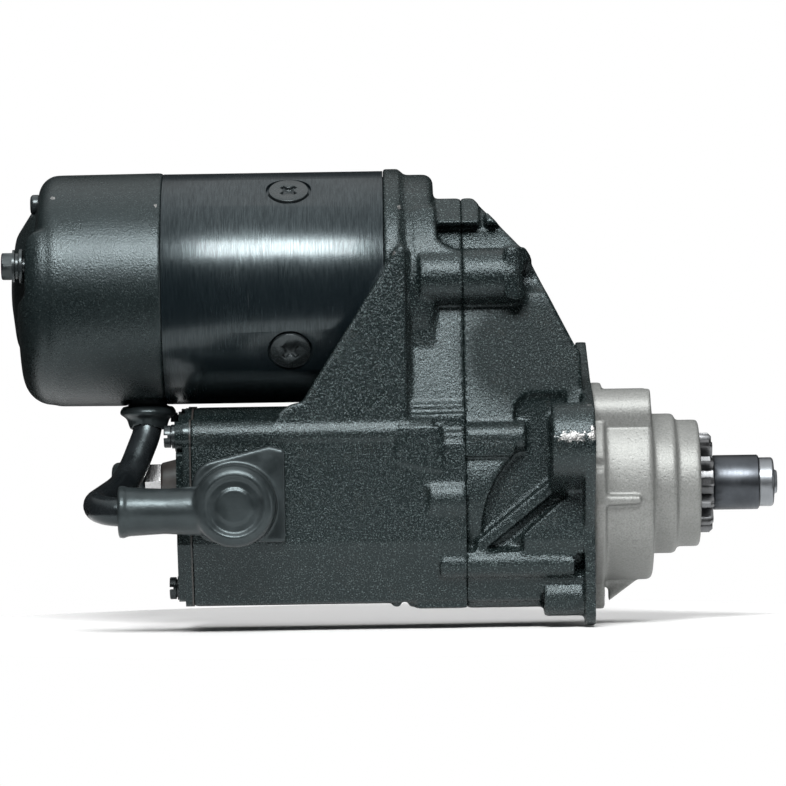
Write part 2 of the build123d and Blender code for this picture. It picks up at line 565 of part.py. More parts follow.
def housing_bolts():
    """Two bolts that hold the drive housing on the gear housing."""
    bolts = []
    for (y, z), seat in ((BIG_BOSS, -30.0), (LOW_BOSS, -13.6)):
        head = hexagon_head(seat, seat + 4.5, y, z, 8.4)
        bolts.append(head + rod(-57.5, seat + 1, y, z, 3.0))
    return bolts


def yoke_seal():
    """Seal ring between the field frame and the gear housing."""
    return Pos(YOKE_X1 + 0.8, MOTOR_Y, MOTOR_Z) * Rot(0, 90, 0) * Torus(41.5, 0.8)


# ---- gear train and clutch -----------------------------------------------------------------------

DRUM_R, RACE_R, TUBE_R = 27.0, 17.6, 12.0
ROLLER_R = (RACE_R - TUBE_R) / 2 - FIT
ROLLER_X0, ROLLER_X1 = -42.0, -24.0


def idler_pin():
    """Fixed pin that the idler gear turns on."""
    return rod(-69, -42, IDLER_Y, IDLER_Z, 6.0)


def idler_rollers():
    """Needle rollers between the pin and the idler gear."""
    roller = rod(-62.5, -50.0, 0, 7.6, 1.5)
    return round_array(roller, 9, IDLER_Y, IDLER_Z)


def idler_gear():
    """Idler gear."""
    return (end_plate(Pos(IDLER_Y, IDLER_Z) * gear_face(IDLER_TEETH, MODULE, IDLER_PHASE), GEAR_X0, GEAR_X1)
            - rod(-70, -40, IDLER_Y, IDLER_Z, 9.2))


def clutch_gear():
    """Clutch gear, its bearing hub and the drum of the roller clutch."""
    body = end_plate(gear_face(CLUTCH_TEETH, MODULE, CLUTCH_PHASE), GEAR_X0, GEAR_X1)
    body += rod(CLUTCH_BEARING_X0 + 0.6, GEAR_X0 + 1, 0, 0, 14.0) + rod(GEAR_X1 - 1, -20, 0, 0, DRUM_R)
    body -= rod(-80, -10, 0, 0, 11.3) + rod(-46.0, -10, 0, 0, TUBE_R + 0.3)
    pocket = rod(-43.0, -19, 0, 14.8, ROLLER_R + 0.1) + block(-43.0, -19, 0, 9.6, 13.1, 16.5)
    for cut in round_array(pocket, 5):
        body -= cut
    return body


def clutch_rollers():
    """Rollers that lock the drum to the drive tube one way round."""
    return round_array(rod(ROLLER_X0, ROLLER_X1, 0, 14.8, ROLLER_R), 5)


def clutch_springs():
    """Small springs that press each roller towards its wedge."""
    spring = Pos(-33.0, 3.0, 14.8) * Rot(0, 0, 90) * coil(0, 6.0, 0, 0, 1.1, 0.3, 4)
    return round_array(spring, 5)


def clutch_cover():
    """Rolled steel cap over the clutch drum."""
    cap = turned([(-47.5, DRUM_R + FIT, 0), (-47.5, 28.0, 0), (-18.2, 28.0, 1), (-18.2, TUBE_R + 0.6, 0),
                  (-19.9, TUBE_R + 0.6, 0), (-19.9, DRUM_R + FIT, 0)])
    return cap


def drive_tube():
    """Inner race of the clutch, with the spline bore that the pinion shaft slides in."""
    tube = rod(-45.8, 25.5, 0, 0, TUBE_R) - rod(-50, -4, 0, 0, 11.0) - rod(-6, 30, 0, 0, 9.0)
    key_way = block(-6, 30, 8.0, 10.2, -1.3, 1.3)
    for cut in round_array(key_way, 6):
        tube -= cut
    return tube


def pinion_shaft():
    """Splined shaft that carries the pinion out of the nose."""
    shaft = turned([(-60, 0, 0), (-60, 10.6, 0.8), (-48, 10.6, 0.8), (-48, 8.8, 0), (26.0, 8.8, 0),
                    (26.0, 12.2, 0.4), (28.5, 12.2, 0.4), (28.5, 8.8, 0), (58.0, 8.8, 0), (58.0, 7.6, 0),
                    (60.0, 7.6, 0), (60.0, 8.6, 0), (64.2, 8.6, 0), (64.2, 9.3, 0), (69.5, 9.3, 1.1),
                    (69.5, 4.9, 0), (70.9, 4.2, 0.5), (70.9, 0, 0)])
    key = block(-4, 26, 8.0, 9.95, -1.15, 1.15)
    for part in round_array(key, 6):
        shaft += part
    flats = block(38.2, 46.0, 7.0, 9.6, -1.15, 1.15)
    for part in round_array(flats, 6):
        shaft += part
    return shaft


def pinion():
    """Output pinion, with chamfered tooth ends, a spline bore and a spring pocket."""
    teeth = end_plate(gear_face(PINION_TEETH, PINION_MODULE, 12.0, PINION_TIP_R, 20, 1.0, 1.15),
                      PINION_X0, PINION_X1)
    envelope = turned([(PINION_X0, 0, 0), (PINION_X0, 18.4, 0), (PINION_X0 + 0.7, PINION_TIP_R + 0.1, 0),
                       (PINION_X1 - 1.1, PINION_TIP_R + 0.1, 0), (PINION_X1, 17.0, 0), (PINION_X1, 0, 0)])
    body = (teeth & envelope) - rod(20, 50, 0, 0, 8.85) - rod(20, 38, 0, 0, 12.0)
    key_way = block(30, 50, 8.0, 9.8, -1.3, 1.3)
    for cut in round_array(key_way, 6):
        body -= cut
    return body


def stop_collar():
    """Collar in front of the pinion that keeps it on the shaft."""
    return turned([(46.3, 8.85, 0), (46.3, 10.0, 0), (46.9, 10.4, 0), (63.4, 10.4, 0), (63.9, 9.9, 0),
                   (63.9, 9.2, 0), (57.6, 9.2, 0), (57.6, 8.85, 0)])


def snap_ring():
    """Round-wire snap ring in the shaft groove, inside the collar."""
    wire = Pos(59.0, 0, 0) * Rot(0, 90, 0) * Torus(8.4, 0.7)
    return wire - block(57, 61, 4, 12, -1.6, 1.6)


def steel_ball():
    """Ball between the plunger rod and the pinion shaft."""
    return Pos(-64.55, 0, 0) * Sphere(4.5)


# ---- magnetic switch -----------------------------------------------------------------------------

COIL_X0, COIL_X1 = -122.0, -82.0
CONTACT_X = -128.0                    # face of the fixed contacts
PLATE_T = 2.5


def solenoid_bobbin():
    """Spool that both coils are wound on."""
    return (ring(COIL_X0, COIL_X1, 0, 0, 16.4, 15.3) + ring(COIL_X0, COIL_X0 + 1.6, 0, 0, 28.3, 15.3)
            + ring(COIL_X1 - 1.6, COIL_X1, 0, 0, 28.3, 15.3))


def solenoid_coils():
    """The inner pull-in winding of heavy wire and the outer hold-in winding of fine wire."""
    return [ring(COIL_X0 + 1.7, COIL_X1 - 1.7, 0, 0, 21.5, 16.45),
            ring(COIL_X0 + 1.7, COIL_X1 - 1.7, 0, 0, 27.4, 21.6)]


def solenoid_core():
    """Fixed iron core that the plunger is drawn to."""
    core = turned([(-90.8, 4.4, 0), (-90.8, 15.2, 1), (-81.9, 15.2, 0), (-81.9, 28.3, 0), (-80.0, 28.3, 0),
                   (-80.0, 4.4, 0)])
    return core - ring(-92, -86, 0, 0, 8.6, 5.2)


def plunger():
    """Iron plunger with its push rod and the spindle of the contact plate."""
    body = turned([(-124.5, 0, 0), (-124.5, 15.1, 1), (-107.0, 15.1, 1), (-107.0, 0, 0)])
    body -= ring(-112, -106, 0, 0, 8.6, 5.2)
    return body + rod(-108, -69.1, 0, 0, 4.0) + rod(-149.4, -124, 0, 0, 3.0)


def contact_plate():
    """Copper disc that bridges the two fixed contacts."""
    rear = CONTACT_X - STROKE - PLATE_T - 0.05
    return ring(rear, rear + PLATE_T, 0, 0, 13.0, 3.05)


def fixed_contacts():
    """The motor contact on the near side and the battery contact on the far side."""
    near = block(CONTACT_X, CONTACT_X + 3, -24, -7, -7, 7) + block(-138.5, CONTACT_X + 3, -26.5, -24, -7, 7)
    near = near & rod(-150, -120, 0, 0, 27.8)
    far = block(CONTACT_X, CONTACT_X + 3, 7, 24, -7, 7) + block(-152.0, CONTACT_X + 3, 21.0, 23.0, -5, 7)
    far += block(-152.0, -150.0, 8.5, 23.0, -3, 9.0)
    near -= Pos(STUD_X, -24, STUD_Z) * Rot(90, 0, 0) * Cylinder(4.05, 20)
    far -= rod(-155, -149, BATTERY_Y, BATTERY_Z, 4.05)
    return [near, far]


def terminal_studs():
    """The motor stud on the near side and the battery stud through the cover."""
    motor = Pos(STUD_X, -22.6, STUD_Z) * Rot(90, 0, 0) * Cylinder(
        4.0, 32.4, align=(Align.CENTER, Align.CENTER, Align.MIN))
    battery = rod(-178.0, -148.0, BATTERY_Y, BATTERY_Z, 4.0) + rod(-150.0, -148.0, BATTERY_Y, BATTERY_Z, 6.0)
    return [motor, battery]


def terminal_bushes():
    """Insulating bushes round both studs, and the block that holds the signal blade."""
    near = Pos(STUD_X, -26.6, STUD_Z) * Rot(90, 0, 0) * Cylinder(
        7.0, 16.4, align=(Align.CENTER, Align.CENTER, Align.MIN))
    near -= Pos(STUD_X, -26.6, STUD_Z) * Rot(90, 0, 0) * Cylinder(4.05, 60)
    far = turned([(-152.05, 4.05, 0), (-152.05, 9.0, 0), (-155.5, 9.0, 0), (-164.0, 7.0, 1),
                  (-164.0, 4.05, 0)], BATTERY_Y, BATTERY_Z)
    block_body = block(-142.5, -133.2, 35.05, 41.0, -14, -4) - block(-141, -134.7, 36.0, 50, -9.4, -8.6)
    return [near, far, block_body]


def terminal_nuts():
    """Hexagon nuts on both studs."""
    near = side_solid(Pos(STUD_X, STUD_Z) * (RegularPolygon(6.5, 6, major_radius=False) - Circle(4.05)),
                      LUG_Y - 5.5, LUG_Y - 0.05)
    far = hexagon_head(-170.0, -164.1, BATTERY_Y, BATTERY_Z, 13) - rod(-171, -160, BATTERY_Y, BATTERY_Z, 4.05)
    return [near, far]


def battery_cap():
    """Soft cap over the battery stud."""
    cap = turned([(-170.1, 0, 0), (-170.1, 8.0, 0), (-183.0, 7.4, 2.6), (-183.0, 0, 0)], BATTERY_Y, BATTERY_Z)
    return cap - rod(-178.2, -160, BATTERY_Y, BATTERY_Z, 4.1)


def signal_terminal():
    """Blade terminal on the far side of the switch body."""
    return block(-141, -134.7, 36.0, 50.0, -9.4, -8.6)


def cover_outline():
    """Outline of the magnetic switch cover: the body's section with its three screw lugs."""
    lugs = circle_hull((*NEAR_TUBE, 6.3), (0, 0, 24)) + circle_hull((*FAR_TUBE, 6.3), (0, 0, 24))
    return switch_section() + lugs


def solenoid_cover():
    """Pressed cover over the contacts."""
    cover = end_plate(cover_outline(), -153.6, -151.1)
    inner = rounded_face([(-37.6, 15, 2), (-37.6, -20, 3), (-27.4, -41.2, 3), (22.4, -41.2, 3), (33, -19, 3),
                          (33, 8, 3), (0, 22, 0)]) + Circle(29.6)
    cover += end_plate(inner, -156.2, -153.5)
    cover += rod(-156.4, -151.1, *NEAR_TUBE, 5.6) + rod(-156.4, -151.1, *FAR_TUBE, 5.6)
    cover -= rod(-154.0, -150, 0, 0, 26.0)
    cover += ring(-154.1, -152.3, BATTERY_Y, BATTERY_Z, 10.5, 9.05)
    cover -= rod(-160, -150, BATTERY_Y, BATTERY_Z, 9.0 + FIT)
    for y, z in SWITCH_SCREWS:
        cover -= rod(-160, -150, y, z, 2.6)
    return cover


def solenoid_gasket():
    """Thin gasket between the cover and the switch body."""
    sheet = end_plate(cover_outline(), -151.1, SWITCH_X0) - rod(-155, -150, 0, 0, SWITCH_BORE_R - 0.5)
    for y, z in SWITCH_SCREWS:
        sheet -= rod(-155, -145, y, z, 2.6)
    return sheet


def solenoid_screws():
    """Three slotted screws with spring washers."""
    screws = []
    for (y, z), seat in zip(SWITCH_SCREWS, (-156.4, -156.4, -156.2)):
        head = turned([(seat - 4.2, 0, 0), (seat - 4.2, 4.2, 0.5), (seat - 1.6, 4.2, 0.3),
                       (seat - 1.6, 3.4, 0),
                       (seat - 1.2, 3.4, 0), (seat - 1.2, 4.5, 0), (seat, 4.5, 0), (seat, 0, 0)], y, z)
        slot = block(seat - 5, seat - 2.8, y - 6, y + 6, z - 0.55, z + 0.55)
        screws.append(head + rod(seat - 0.5, -135, y, z, 2.5) - slot)
    return screws


def plunger_spring():
    """Return spring between the plunger and the fixed core."""
    return coil(-111.9, -86.1, 0, 0, 6.9, 0.8, 6)


def return_spring():
    """Spring in the drive tube that draws the pinion shaft back."""
    return coil(-47.8, -4.1, 0, 0, 9.9, 0.7, 9)


def pinion_spring():
    """Cushion spring that lets the pinion give when its teeth meet the ring gear end on."""
    return coil(28.6, 37.9, 0, 0, 10.6, 0.7, 3)


# ---- motor lead ----------------------------------------------------------------------------------

LEAD_R = 5.4
BOOT_Y = -49.5                        # centre line of the boot's neck
BOOT_NECK_Z = -6.6
LEAD_ROUTE = [(-168.0, 4.0, 37.0), (-168.0, 3.0, 24.0), (-176.0, -10.0, 3.0), (-189.5, BOOT_Y, BOOT_NECK_Z),
              (-158.0, BOOT_Y, BOOT_NECK_Z)]
LUG_Y = -45.0                         # outer face of the lead's lug, under the nut


def lead_path():
    """Straight runs joined by arcs as large as the runs allow."""
    points = [Vector(*p) for p in LEAD_ROUTE]
    radii = []
    for before, corner, after in zip(points, points[1:], points[2:]):
        arrive, leave = corner - before, after - corner
        turn = radians(arrive.get_angle(leave))
        radii.append(0.45 * min(arrive.length, leave.length) / tan(turn / 2))
    return FilletPolyline(*LEAD_ROUTE, radius=radii), radii


def motor_lead():
    """Insulated lead from the field coils to the motor stud."""
    path, radii = lead_path()
    lead = sweep(Plane(origin=path @ 0, z_dir=path % 0) * Circle(LEAD_R), path=path)
    print("motor lead: length", round(path.length, 1), "radii", [round(r, 1) for r in radii],
          "volume over section times length", round(lead.volume / (pi * LEAD_R**2 * path.length), 3))
    return lead


def lead_lug():
    """Crimped lug: a barrel on the end of the lead and a ring on the motor stud."""
    lug = ring(-160.0, -150.0, BOOT_Y, BOOT_NECK_Z, 6.3, LEAD_R + 0.02)
    lug += block(-150.2, -143.0, BOOT_Y - 1.2, BOOT_Y + 1.2, BOOT_NECK_Z - 5.5, BOOT_NECK_Z + 5.5)
    lug += block(-145.0, -143.0, BOOT_Y, LUG_Y + 1, BOOT_NECK_Z - 5.5, BOOT_NECK_Z + 5.5)
    tongue = Circle(7.2) + Pos(-5.5, BOOT_NECK_Z - STUD_Z) * Rectangle(9.0, 11.0) - Circle(4.05)
    return lug + side_solid(Pos(STUD_X, STUD_Z) * tongue, LUG_Y, -43.05)


def lead_grommet():
    """Flared grommet where the lead leaves the motor."""
    bell = turned([(0, 0, 0), (0, 7.0, 0.6), (4.5, 7.0, 0), (4.5, 9.6, 0.5), (7.2, 11.2, 1.0),
                   (9.2, 8.2, 1.0),
                   (13.5, 6.9, 1), (13.5, 0, 0)])
    grommet = Pos(-168.3, 4.0, 36.9) * Rot(0, 90, 0) * bell
    grommet -= rod(-190, -150, MOTOR_Y, MOTOR_Z, 40.05)
    return grommet - motor_lead()


def motor_boot():
    """Elbow boot over the motor stud, with a round head, a neck and a skirt."""
    skirt = rounded_face([(-150, -19, 9), (-115.5, -19, 1), (-115.5, 15.5, 1), (-121, 17.0, 0),
                          (-150, 10, 9)])
    boot = side_solid(skirt, NEAR_Y - 3.1, NEAR_Y - 0.1)
    head = Cylinder(15.4, 20.0, align=(Align.CENTER, Align.CENTER, Align.MIN))
    head = fillet(head.edges().sort_by(Axis.Z)[-1], 4.0)
    boot += Pos(STUD_X, NEAR_Y - 0.1, STUD_Z) * Rot(90, 0, 0) * head
    boot += turned([(-177.3, 0, 0), (-177.3, 9.8, 0.8), (-174.8, 9.8, 0), (-174.6, 9.2, 0), (-160, 8.4, 0),
                    (-145, 9.4, 0), (-134, 9.4, 0), (-134, 0, 0)], BOOT_Y, BOOT_NECK_Z)
    boot -= block(-190, -100, NEAR_Y, 0, -40, 40)
    boot -= Pos(STUD_X, NEAR_Y + 1, STUD_Z) * Rot(90, 0, 0) * Cylinder(
        8.0, 18.0, align=(Align.CENTER, Align.CENTER, Align.MIN))
    boot -= rod(-161, STUD_X, BOOT_Y, BOOT_NECK_Z, 6.5)
    boot -= block(-146, STUD_X, BOOT_Y - 1, -42.6, BOOT_NECK_Z - 5.8, BOOT_NECK_Z + 8.0)
    return boot - rod(-180, -160.5, BOOT_Y, BOOT_NECK_Z, LEAD_R + 0.3)


NODES = {
    "end_cover": end_cover, "yoke": yoke, "pole_shoes": pole_shoes, "pole_screws": pole_screws,
    "field_coils": field_coils, "through_bolts": through_bolts, "bolt_washers": bolt_washers,
    "brush_holder": brush_holder, "brushes": brushes, "brush_springs": brush_springs,
    "brush_holder_screws": brush_holder_screws, "yoke_seal": yoke_seal,
    "bearing_outer_rings": lambda: bearing_rings(ARMATURE_SEATS + CLUTCH_SEATS, False),
    "armature_bearing_cores": lambda: bearing_rings(ARMATURE_SEATS, True),
    "clutch_bearing_core": lambda: bearing_rings(CLUTCH_SEATS[:1], True),
    "nose_bearing_core": lambda: bearing_rings(CLUTCH_SEATS[1:], True),
    "bearing_balls": lambda: bearing_balls(ARMATURE_SEATS + CLUTCH_SEATS),
    "gear_housing": gear_housing, "drive_housing": drive_housing, "nose_housing": nose_housing,
    "nose_screws": nose_screws, "housing_bolts": housing_bolts,
    "armature_shaft": armature_shaft, "armature_core": armature_core,
    "armature_windings": armature_windings, "commutator": commutator,
    "idler_pin": idler_pin, "idler_rollers": idler_rollers, "idler_gear": idler_gear,
    "clutch_gear": clutch_gear, "clutch_rollers": clutch_rollers, "clutch_springs": clutch_springs,
    "clutch_cover": clutch_cover, "drive_tube": drive_tube, "pinion_shaft": pinion_shaft,
    "pinion": pinion, "pinion_spring": pinion_spring, "stop_collar": stop_collar, "snap_ring": snap_ring,
    "steel_ball": steel_ball, "return_spring": return_spring,
    "solenoid_bobbin": solenoid_bobbin, "solenoid_coils": solenoid_coils,
    "solenoid_core": solenoid_core, "plunger": plunger, "plunger_spring": plunger_spring,
    "contact_plate": contact_plate, "fixed_contacts": fixed_contacts, "terminal_studs": terminal_studs,
    "terminal_bushes": terminal_bushes, "terminal_nuts": terminal_nuts, "battery_cap": battery_cap,
    "signal_terminal": signal_terminal, "solenoid_cover": solenoid_cover,
    "solenoid_gasket": solenoid_gasket, "solenoid_screws": solenoid_screws,
    "motor_lead": motor_lead, "lead_lug": lead_lug, "lead_grommet": lead_grommet, "motor_boot": motor_boot,
}


def main():
    """Builds every node and writes one STEP file for each."""
    os.makedirs("parts", exist_ok=True)
    for name, make in NODES.items():
        made = make()
        solids = made if isinstance(made, list) else [made]
        solids = [solid for shape in solids for solid in shape.solids()]
        shape = solids[0] if len(solids) == 1 else Compound(children=solids)
        export_step(shape, f"parts/{name}.step")
        print(name, len(solids), round(shape.volume))


main()
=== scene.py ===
"""Looks of an offset-gear-reduction starter motor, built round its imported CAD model.

The castings, the end cover and the rubber parts are re-skinned copies of their CAD nodes with softened edges.
The field tube, the switch's cover and the small screws are copies with bevelled edges. The pinion, the long
bolts and the motor lead are rebuilt. Every other node keeps its shape and gets a finish.
"""
from __future__ import annotations

import logging
import math
from dataclasses import dataclass, field
from enum import Enum
from typing import Iterable, Sequence

import bmesh
import bpy
from mathutils import Matrix, Vector

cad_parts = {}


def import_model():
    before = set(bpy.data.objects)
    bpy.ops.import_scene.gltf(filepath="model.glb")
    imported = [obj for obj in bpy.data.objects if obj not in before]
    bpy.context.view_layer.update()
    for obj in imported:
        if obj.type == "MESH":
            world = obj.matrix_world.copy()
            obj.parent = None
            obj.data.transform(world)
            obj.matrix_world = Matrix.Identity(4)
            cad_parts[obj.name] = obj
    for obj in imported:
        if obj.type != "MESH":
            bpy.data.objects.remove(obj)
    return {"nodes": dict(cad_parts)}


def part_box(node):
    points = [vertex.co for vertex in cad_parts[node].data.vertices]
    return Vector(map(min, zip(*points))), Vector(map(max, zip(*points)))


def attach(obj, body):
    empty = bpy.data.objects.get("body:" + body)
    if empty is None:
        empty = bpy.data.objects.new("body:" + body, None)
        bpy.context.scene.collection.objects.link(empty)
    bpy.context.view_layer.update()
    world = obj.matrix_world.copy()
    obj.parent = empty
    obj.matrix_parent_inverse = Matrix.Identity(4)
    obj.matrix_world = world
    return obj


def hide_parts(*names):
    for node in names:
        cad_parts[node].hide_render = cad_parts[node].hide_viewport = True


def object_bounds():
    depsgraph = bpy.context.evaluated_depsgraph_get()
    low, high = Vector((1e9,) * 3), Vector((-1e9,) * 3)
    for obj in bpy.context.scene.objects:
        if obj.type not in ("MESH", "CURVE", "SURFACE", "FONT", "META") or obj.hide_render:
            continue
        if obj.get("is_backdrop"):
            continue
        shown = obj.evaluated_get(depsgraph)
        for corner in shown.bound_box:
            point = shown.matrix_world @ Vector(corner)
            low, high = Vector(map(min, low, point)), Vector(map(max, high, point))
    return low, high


LOG = logging.getLogger("starter_motor")
MM = 0.001
SHEEN = (0.80, 0.96, 1.0, 1.0)  # faintly blue-green tint of the gloss on paint and rubber


# ---- material graphs -----------------------------------------------------------------------------

class Graph:
    """A short way to build a node material on object coordinates."""

    def __init__(self, name: str) -> None:
        """Starts a material with a Principled shader.

        Args:
            name: Name of the new material.
        """
        self.material = bpy.data.materials.new(name)
        self.material.use_nodes = True
        self.tree = self.material.node_tree
        self.shader = self.tree.nodes["Principled BSDF"]
        self.place = self.node("ShaderNodeTexCoord").outputs["Object"]

    def node(self, kind: str, **settings: object) -> bpy.types.Node:
        """Adds a node and sets its properties.

        Args:
            kind: Blender's name for the node type.
            settings: Properties to set on it.

        Returns:
            The new node.
        """
        made = self.tree.nodes.new(kind)
        for key, value in settings.items():
            setattr(made, key, value)
        return made

    def feed(self, socket: bpy.types.NodeSocket, value: object) -> None:
        """Links an output to a socket, or sets its value.

        Args:
            socket: The input to fill.
            value: An output socket, or a plain value.
        """
        if isinstance(value, bpy.types.NodeSocket):
            self.tree.links.new(value, socket)
        else:
            socket.default_value = value

    def stretched(self, scale: Sequence[float]) -> bpy.types.NodeSocket:
        """Object coordinates scaled along each axis, for grain that runs one way.

        Args:
            scale: Scale along X, Y and Z; a small one draws the pattern out.

        Returns:
            The scaled coordinates.
        """
        mapping = self.node("ShaderNodeMapping")
        self.feed(mapping.inputs["Vector"], self.place)
        mapping.inputs["Scale"].default_value = scale
        return mapping.outputs["Vector"]

    def noise(self, size: float, detail: float = 3.0, rough: float = 0.55,
              vector: bpy.types.NodeSocket | None = None) -> bpy.types.NodeSocket:
        """Fractal noise.

        Args:
            size: Size of its largest features, in metres.
            detail: Number of octaves.
            rough: Weight of the finer octaves.
            vector: Coordinates, or None for plain object coordinates.

        Returns:
            A value from 0 to 1.
        """
        made = self.node("ShaderNodeTexNoise")
        self.feed(made.inputs["Vector"], vector or self.place)
        made.inputs["Scale"].default_value = 1 / size
        made.inputs["Detail"].default_value = detail
        made.inputs["Roughness"].default_value = rough
        return made.outputs["Fac"]

    def cells(self, size: float) -> bpy.types.NodeSocket:
        """Distance to the nearest of scattered points, for pits and sand grains.

        Args:
            size: Usual distance between the points, in metres.

        Returns:
            The distance, as a share of that size.
        """
        made = self.node("ShaderNodeTexVoronoi")
        self.feed(made.inputs["Vector"], self.place)
        made.inputs["Scale"].default_value = 1 / size
        return made.outputs["Distance"]

    def span(self, value: bpy.types.NodeSocket, low: float, high: float,
             to_low: float = 0.0, to_high: float = 1.0) -> bpy.types.NodeSocket:
        """Maps a range of a value to another range, clamped.

        Args:
            value: The value to map.
            low: Where the first range starts.
            high: Where the first range ends.
            to_low: The result at and below the start.
            to_high: The result at and above the end.

        Returns:
            The mapped value.
        """
        made = self.node("ShaderNodeMapRange")
        self.feed(made.inputs["Value"], value)
        for key, number in (("From Min", low), ("From Max", high), ("To Min", to_low), ("To Max", to_high)):
            made.inputs[key].default_value = number
        return made.outputs["Result"]

    def math(self, operation: str, first: object, second: object = 0.0) -> bpy.types.NodeSocket:
        """A math node.

        Args:
            operation: Blender's name for the operation.
            first: First operand, a socket or a number.
            second: Second operand, a socket or a number.

        Returns:
            The result.
        """
        made = self.node("ShaderNodeMath", operation=operation)
        self.feed(made.inputs[0], first)
        self.feed(made.inputs[1], second)
        return made.outputs["Value"]

    def mix(self, factor: object, first: Sequence[float] | bpy.types.NodeSocket,
            second: Sequence[float] | bpy.types.NodeSocket) -> bpy.types.NodeSocket:
        """A colour mix.

        Args:
            factor: Share of the second colour.
            first: A colour, or a socket that gives one.
            second: A colour, or a socket that gives one.

        Returns:
            The mixed colour.
        """
        made = self.node("ShaderNodeMix", data_type="RGBA")
        self.feed(made.inputs["Factor"], factor)
        for key, colour in ((6, first), (7, second)):
            full = colour if isinstance(colour, bpy.types.NodeSocket) else (*colour, 1.0)
            self.feed(made.inputs[key], full)
        return made.outputs[2]

    def bump(self, height: bpy.types.NodeSocket, depth: float, strength: float = 1.0,
             under: bpy.types.NodeSocket | None = None) -> bpy.types.NodeSocket:
        """A bump map.

        Args:
            height: The height pattern.
            depth: How deep a change of 1 in it is, in metres.
            strength: How much of the bump shows.
            under: Normal of a bump beneath this one.

        Returns:
            The bumped normal.
        """
        made = self.node("ShaderNodeBump")
        made.inputs["Distance"].default_value = depth
        made.inputs["Strength"].default_value = strength
        self.feed(made.inputs["Height"], height)
        if under:
            self.feed(made.inputs["Normal"], under)
        return made.outputs["Normal"]

    def nearness(self, spots: Iterable["Spot"]) -> bpy.types.NodeSocket:
        """How near the closest of the given spots is.

        Args:
            spots: The places.

        Returns:
            A value that is 1 at a spot's centre and 0 at its radius.
        """
        total: object = 0.0
        for spot in spots:
            gap = self.node("ShaderNodeVectorMath", operation="DISTANCE")
            stretch = self.node("ShaderNodeVectorMath", operation="MULTIPLY")
            self.feed(stretch.inputs[0], self.place)
            stretch.inputs[1].default_value = spot.stretch
            self.feed(gap.inputs[0], stretch.outputs["Vector"])
            gap.inputs[1].default_value = [p * MM * s for p, s in zip(spot.place, spot.stretch)]
            mask = self.span(gap.outputs["Value"], 0.0, spot.radius * MM, 1.0, 0.0)
            total = self.math("MAXIMUM", total, mask)
        return total

    def near(self, spots: Iterable["Spot"]) -> bpy.types.NodeSocket:
        """A mask with a ragged edge that is 1 near any of the given spots.

        Args:
            spots: The places.

        Returns:
            The mask.
        """
        ragged = self.math("SUBTRACT", self.noise(0.0016, 4.0, 0.7), 0.5)
        edge = self.math("MULTIPLY", ragged, 1.6)
        return self.span(self.math("ADD", self.nearness(spots), edge), 0.55, 0.62)


@dataclass(frozen=True)
class Spot:
    """A place on a piece: centre and radius in millimetres, and how much shorter it is along each axis."""

    place: tuple[float, float, float]
    radius: float
    stretch: tuple[float, float, float] = (1.0, 1.0, 1.0)


class Metal(Enum):
    """Colours of the bare metals."""

    STEEL = (0.34, 0.35, 0.37)
    BRIGHT_STEEL = (0.58, 0.585, 0.59)
    COPPER = (0.78, 0.38, 0.24)


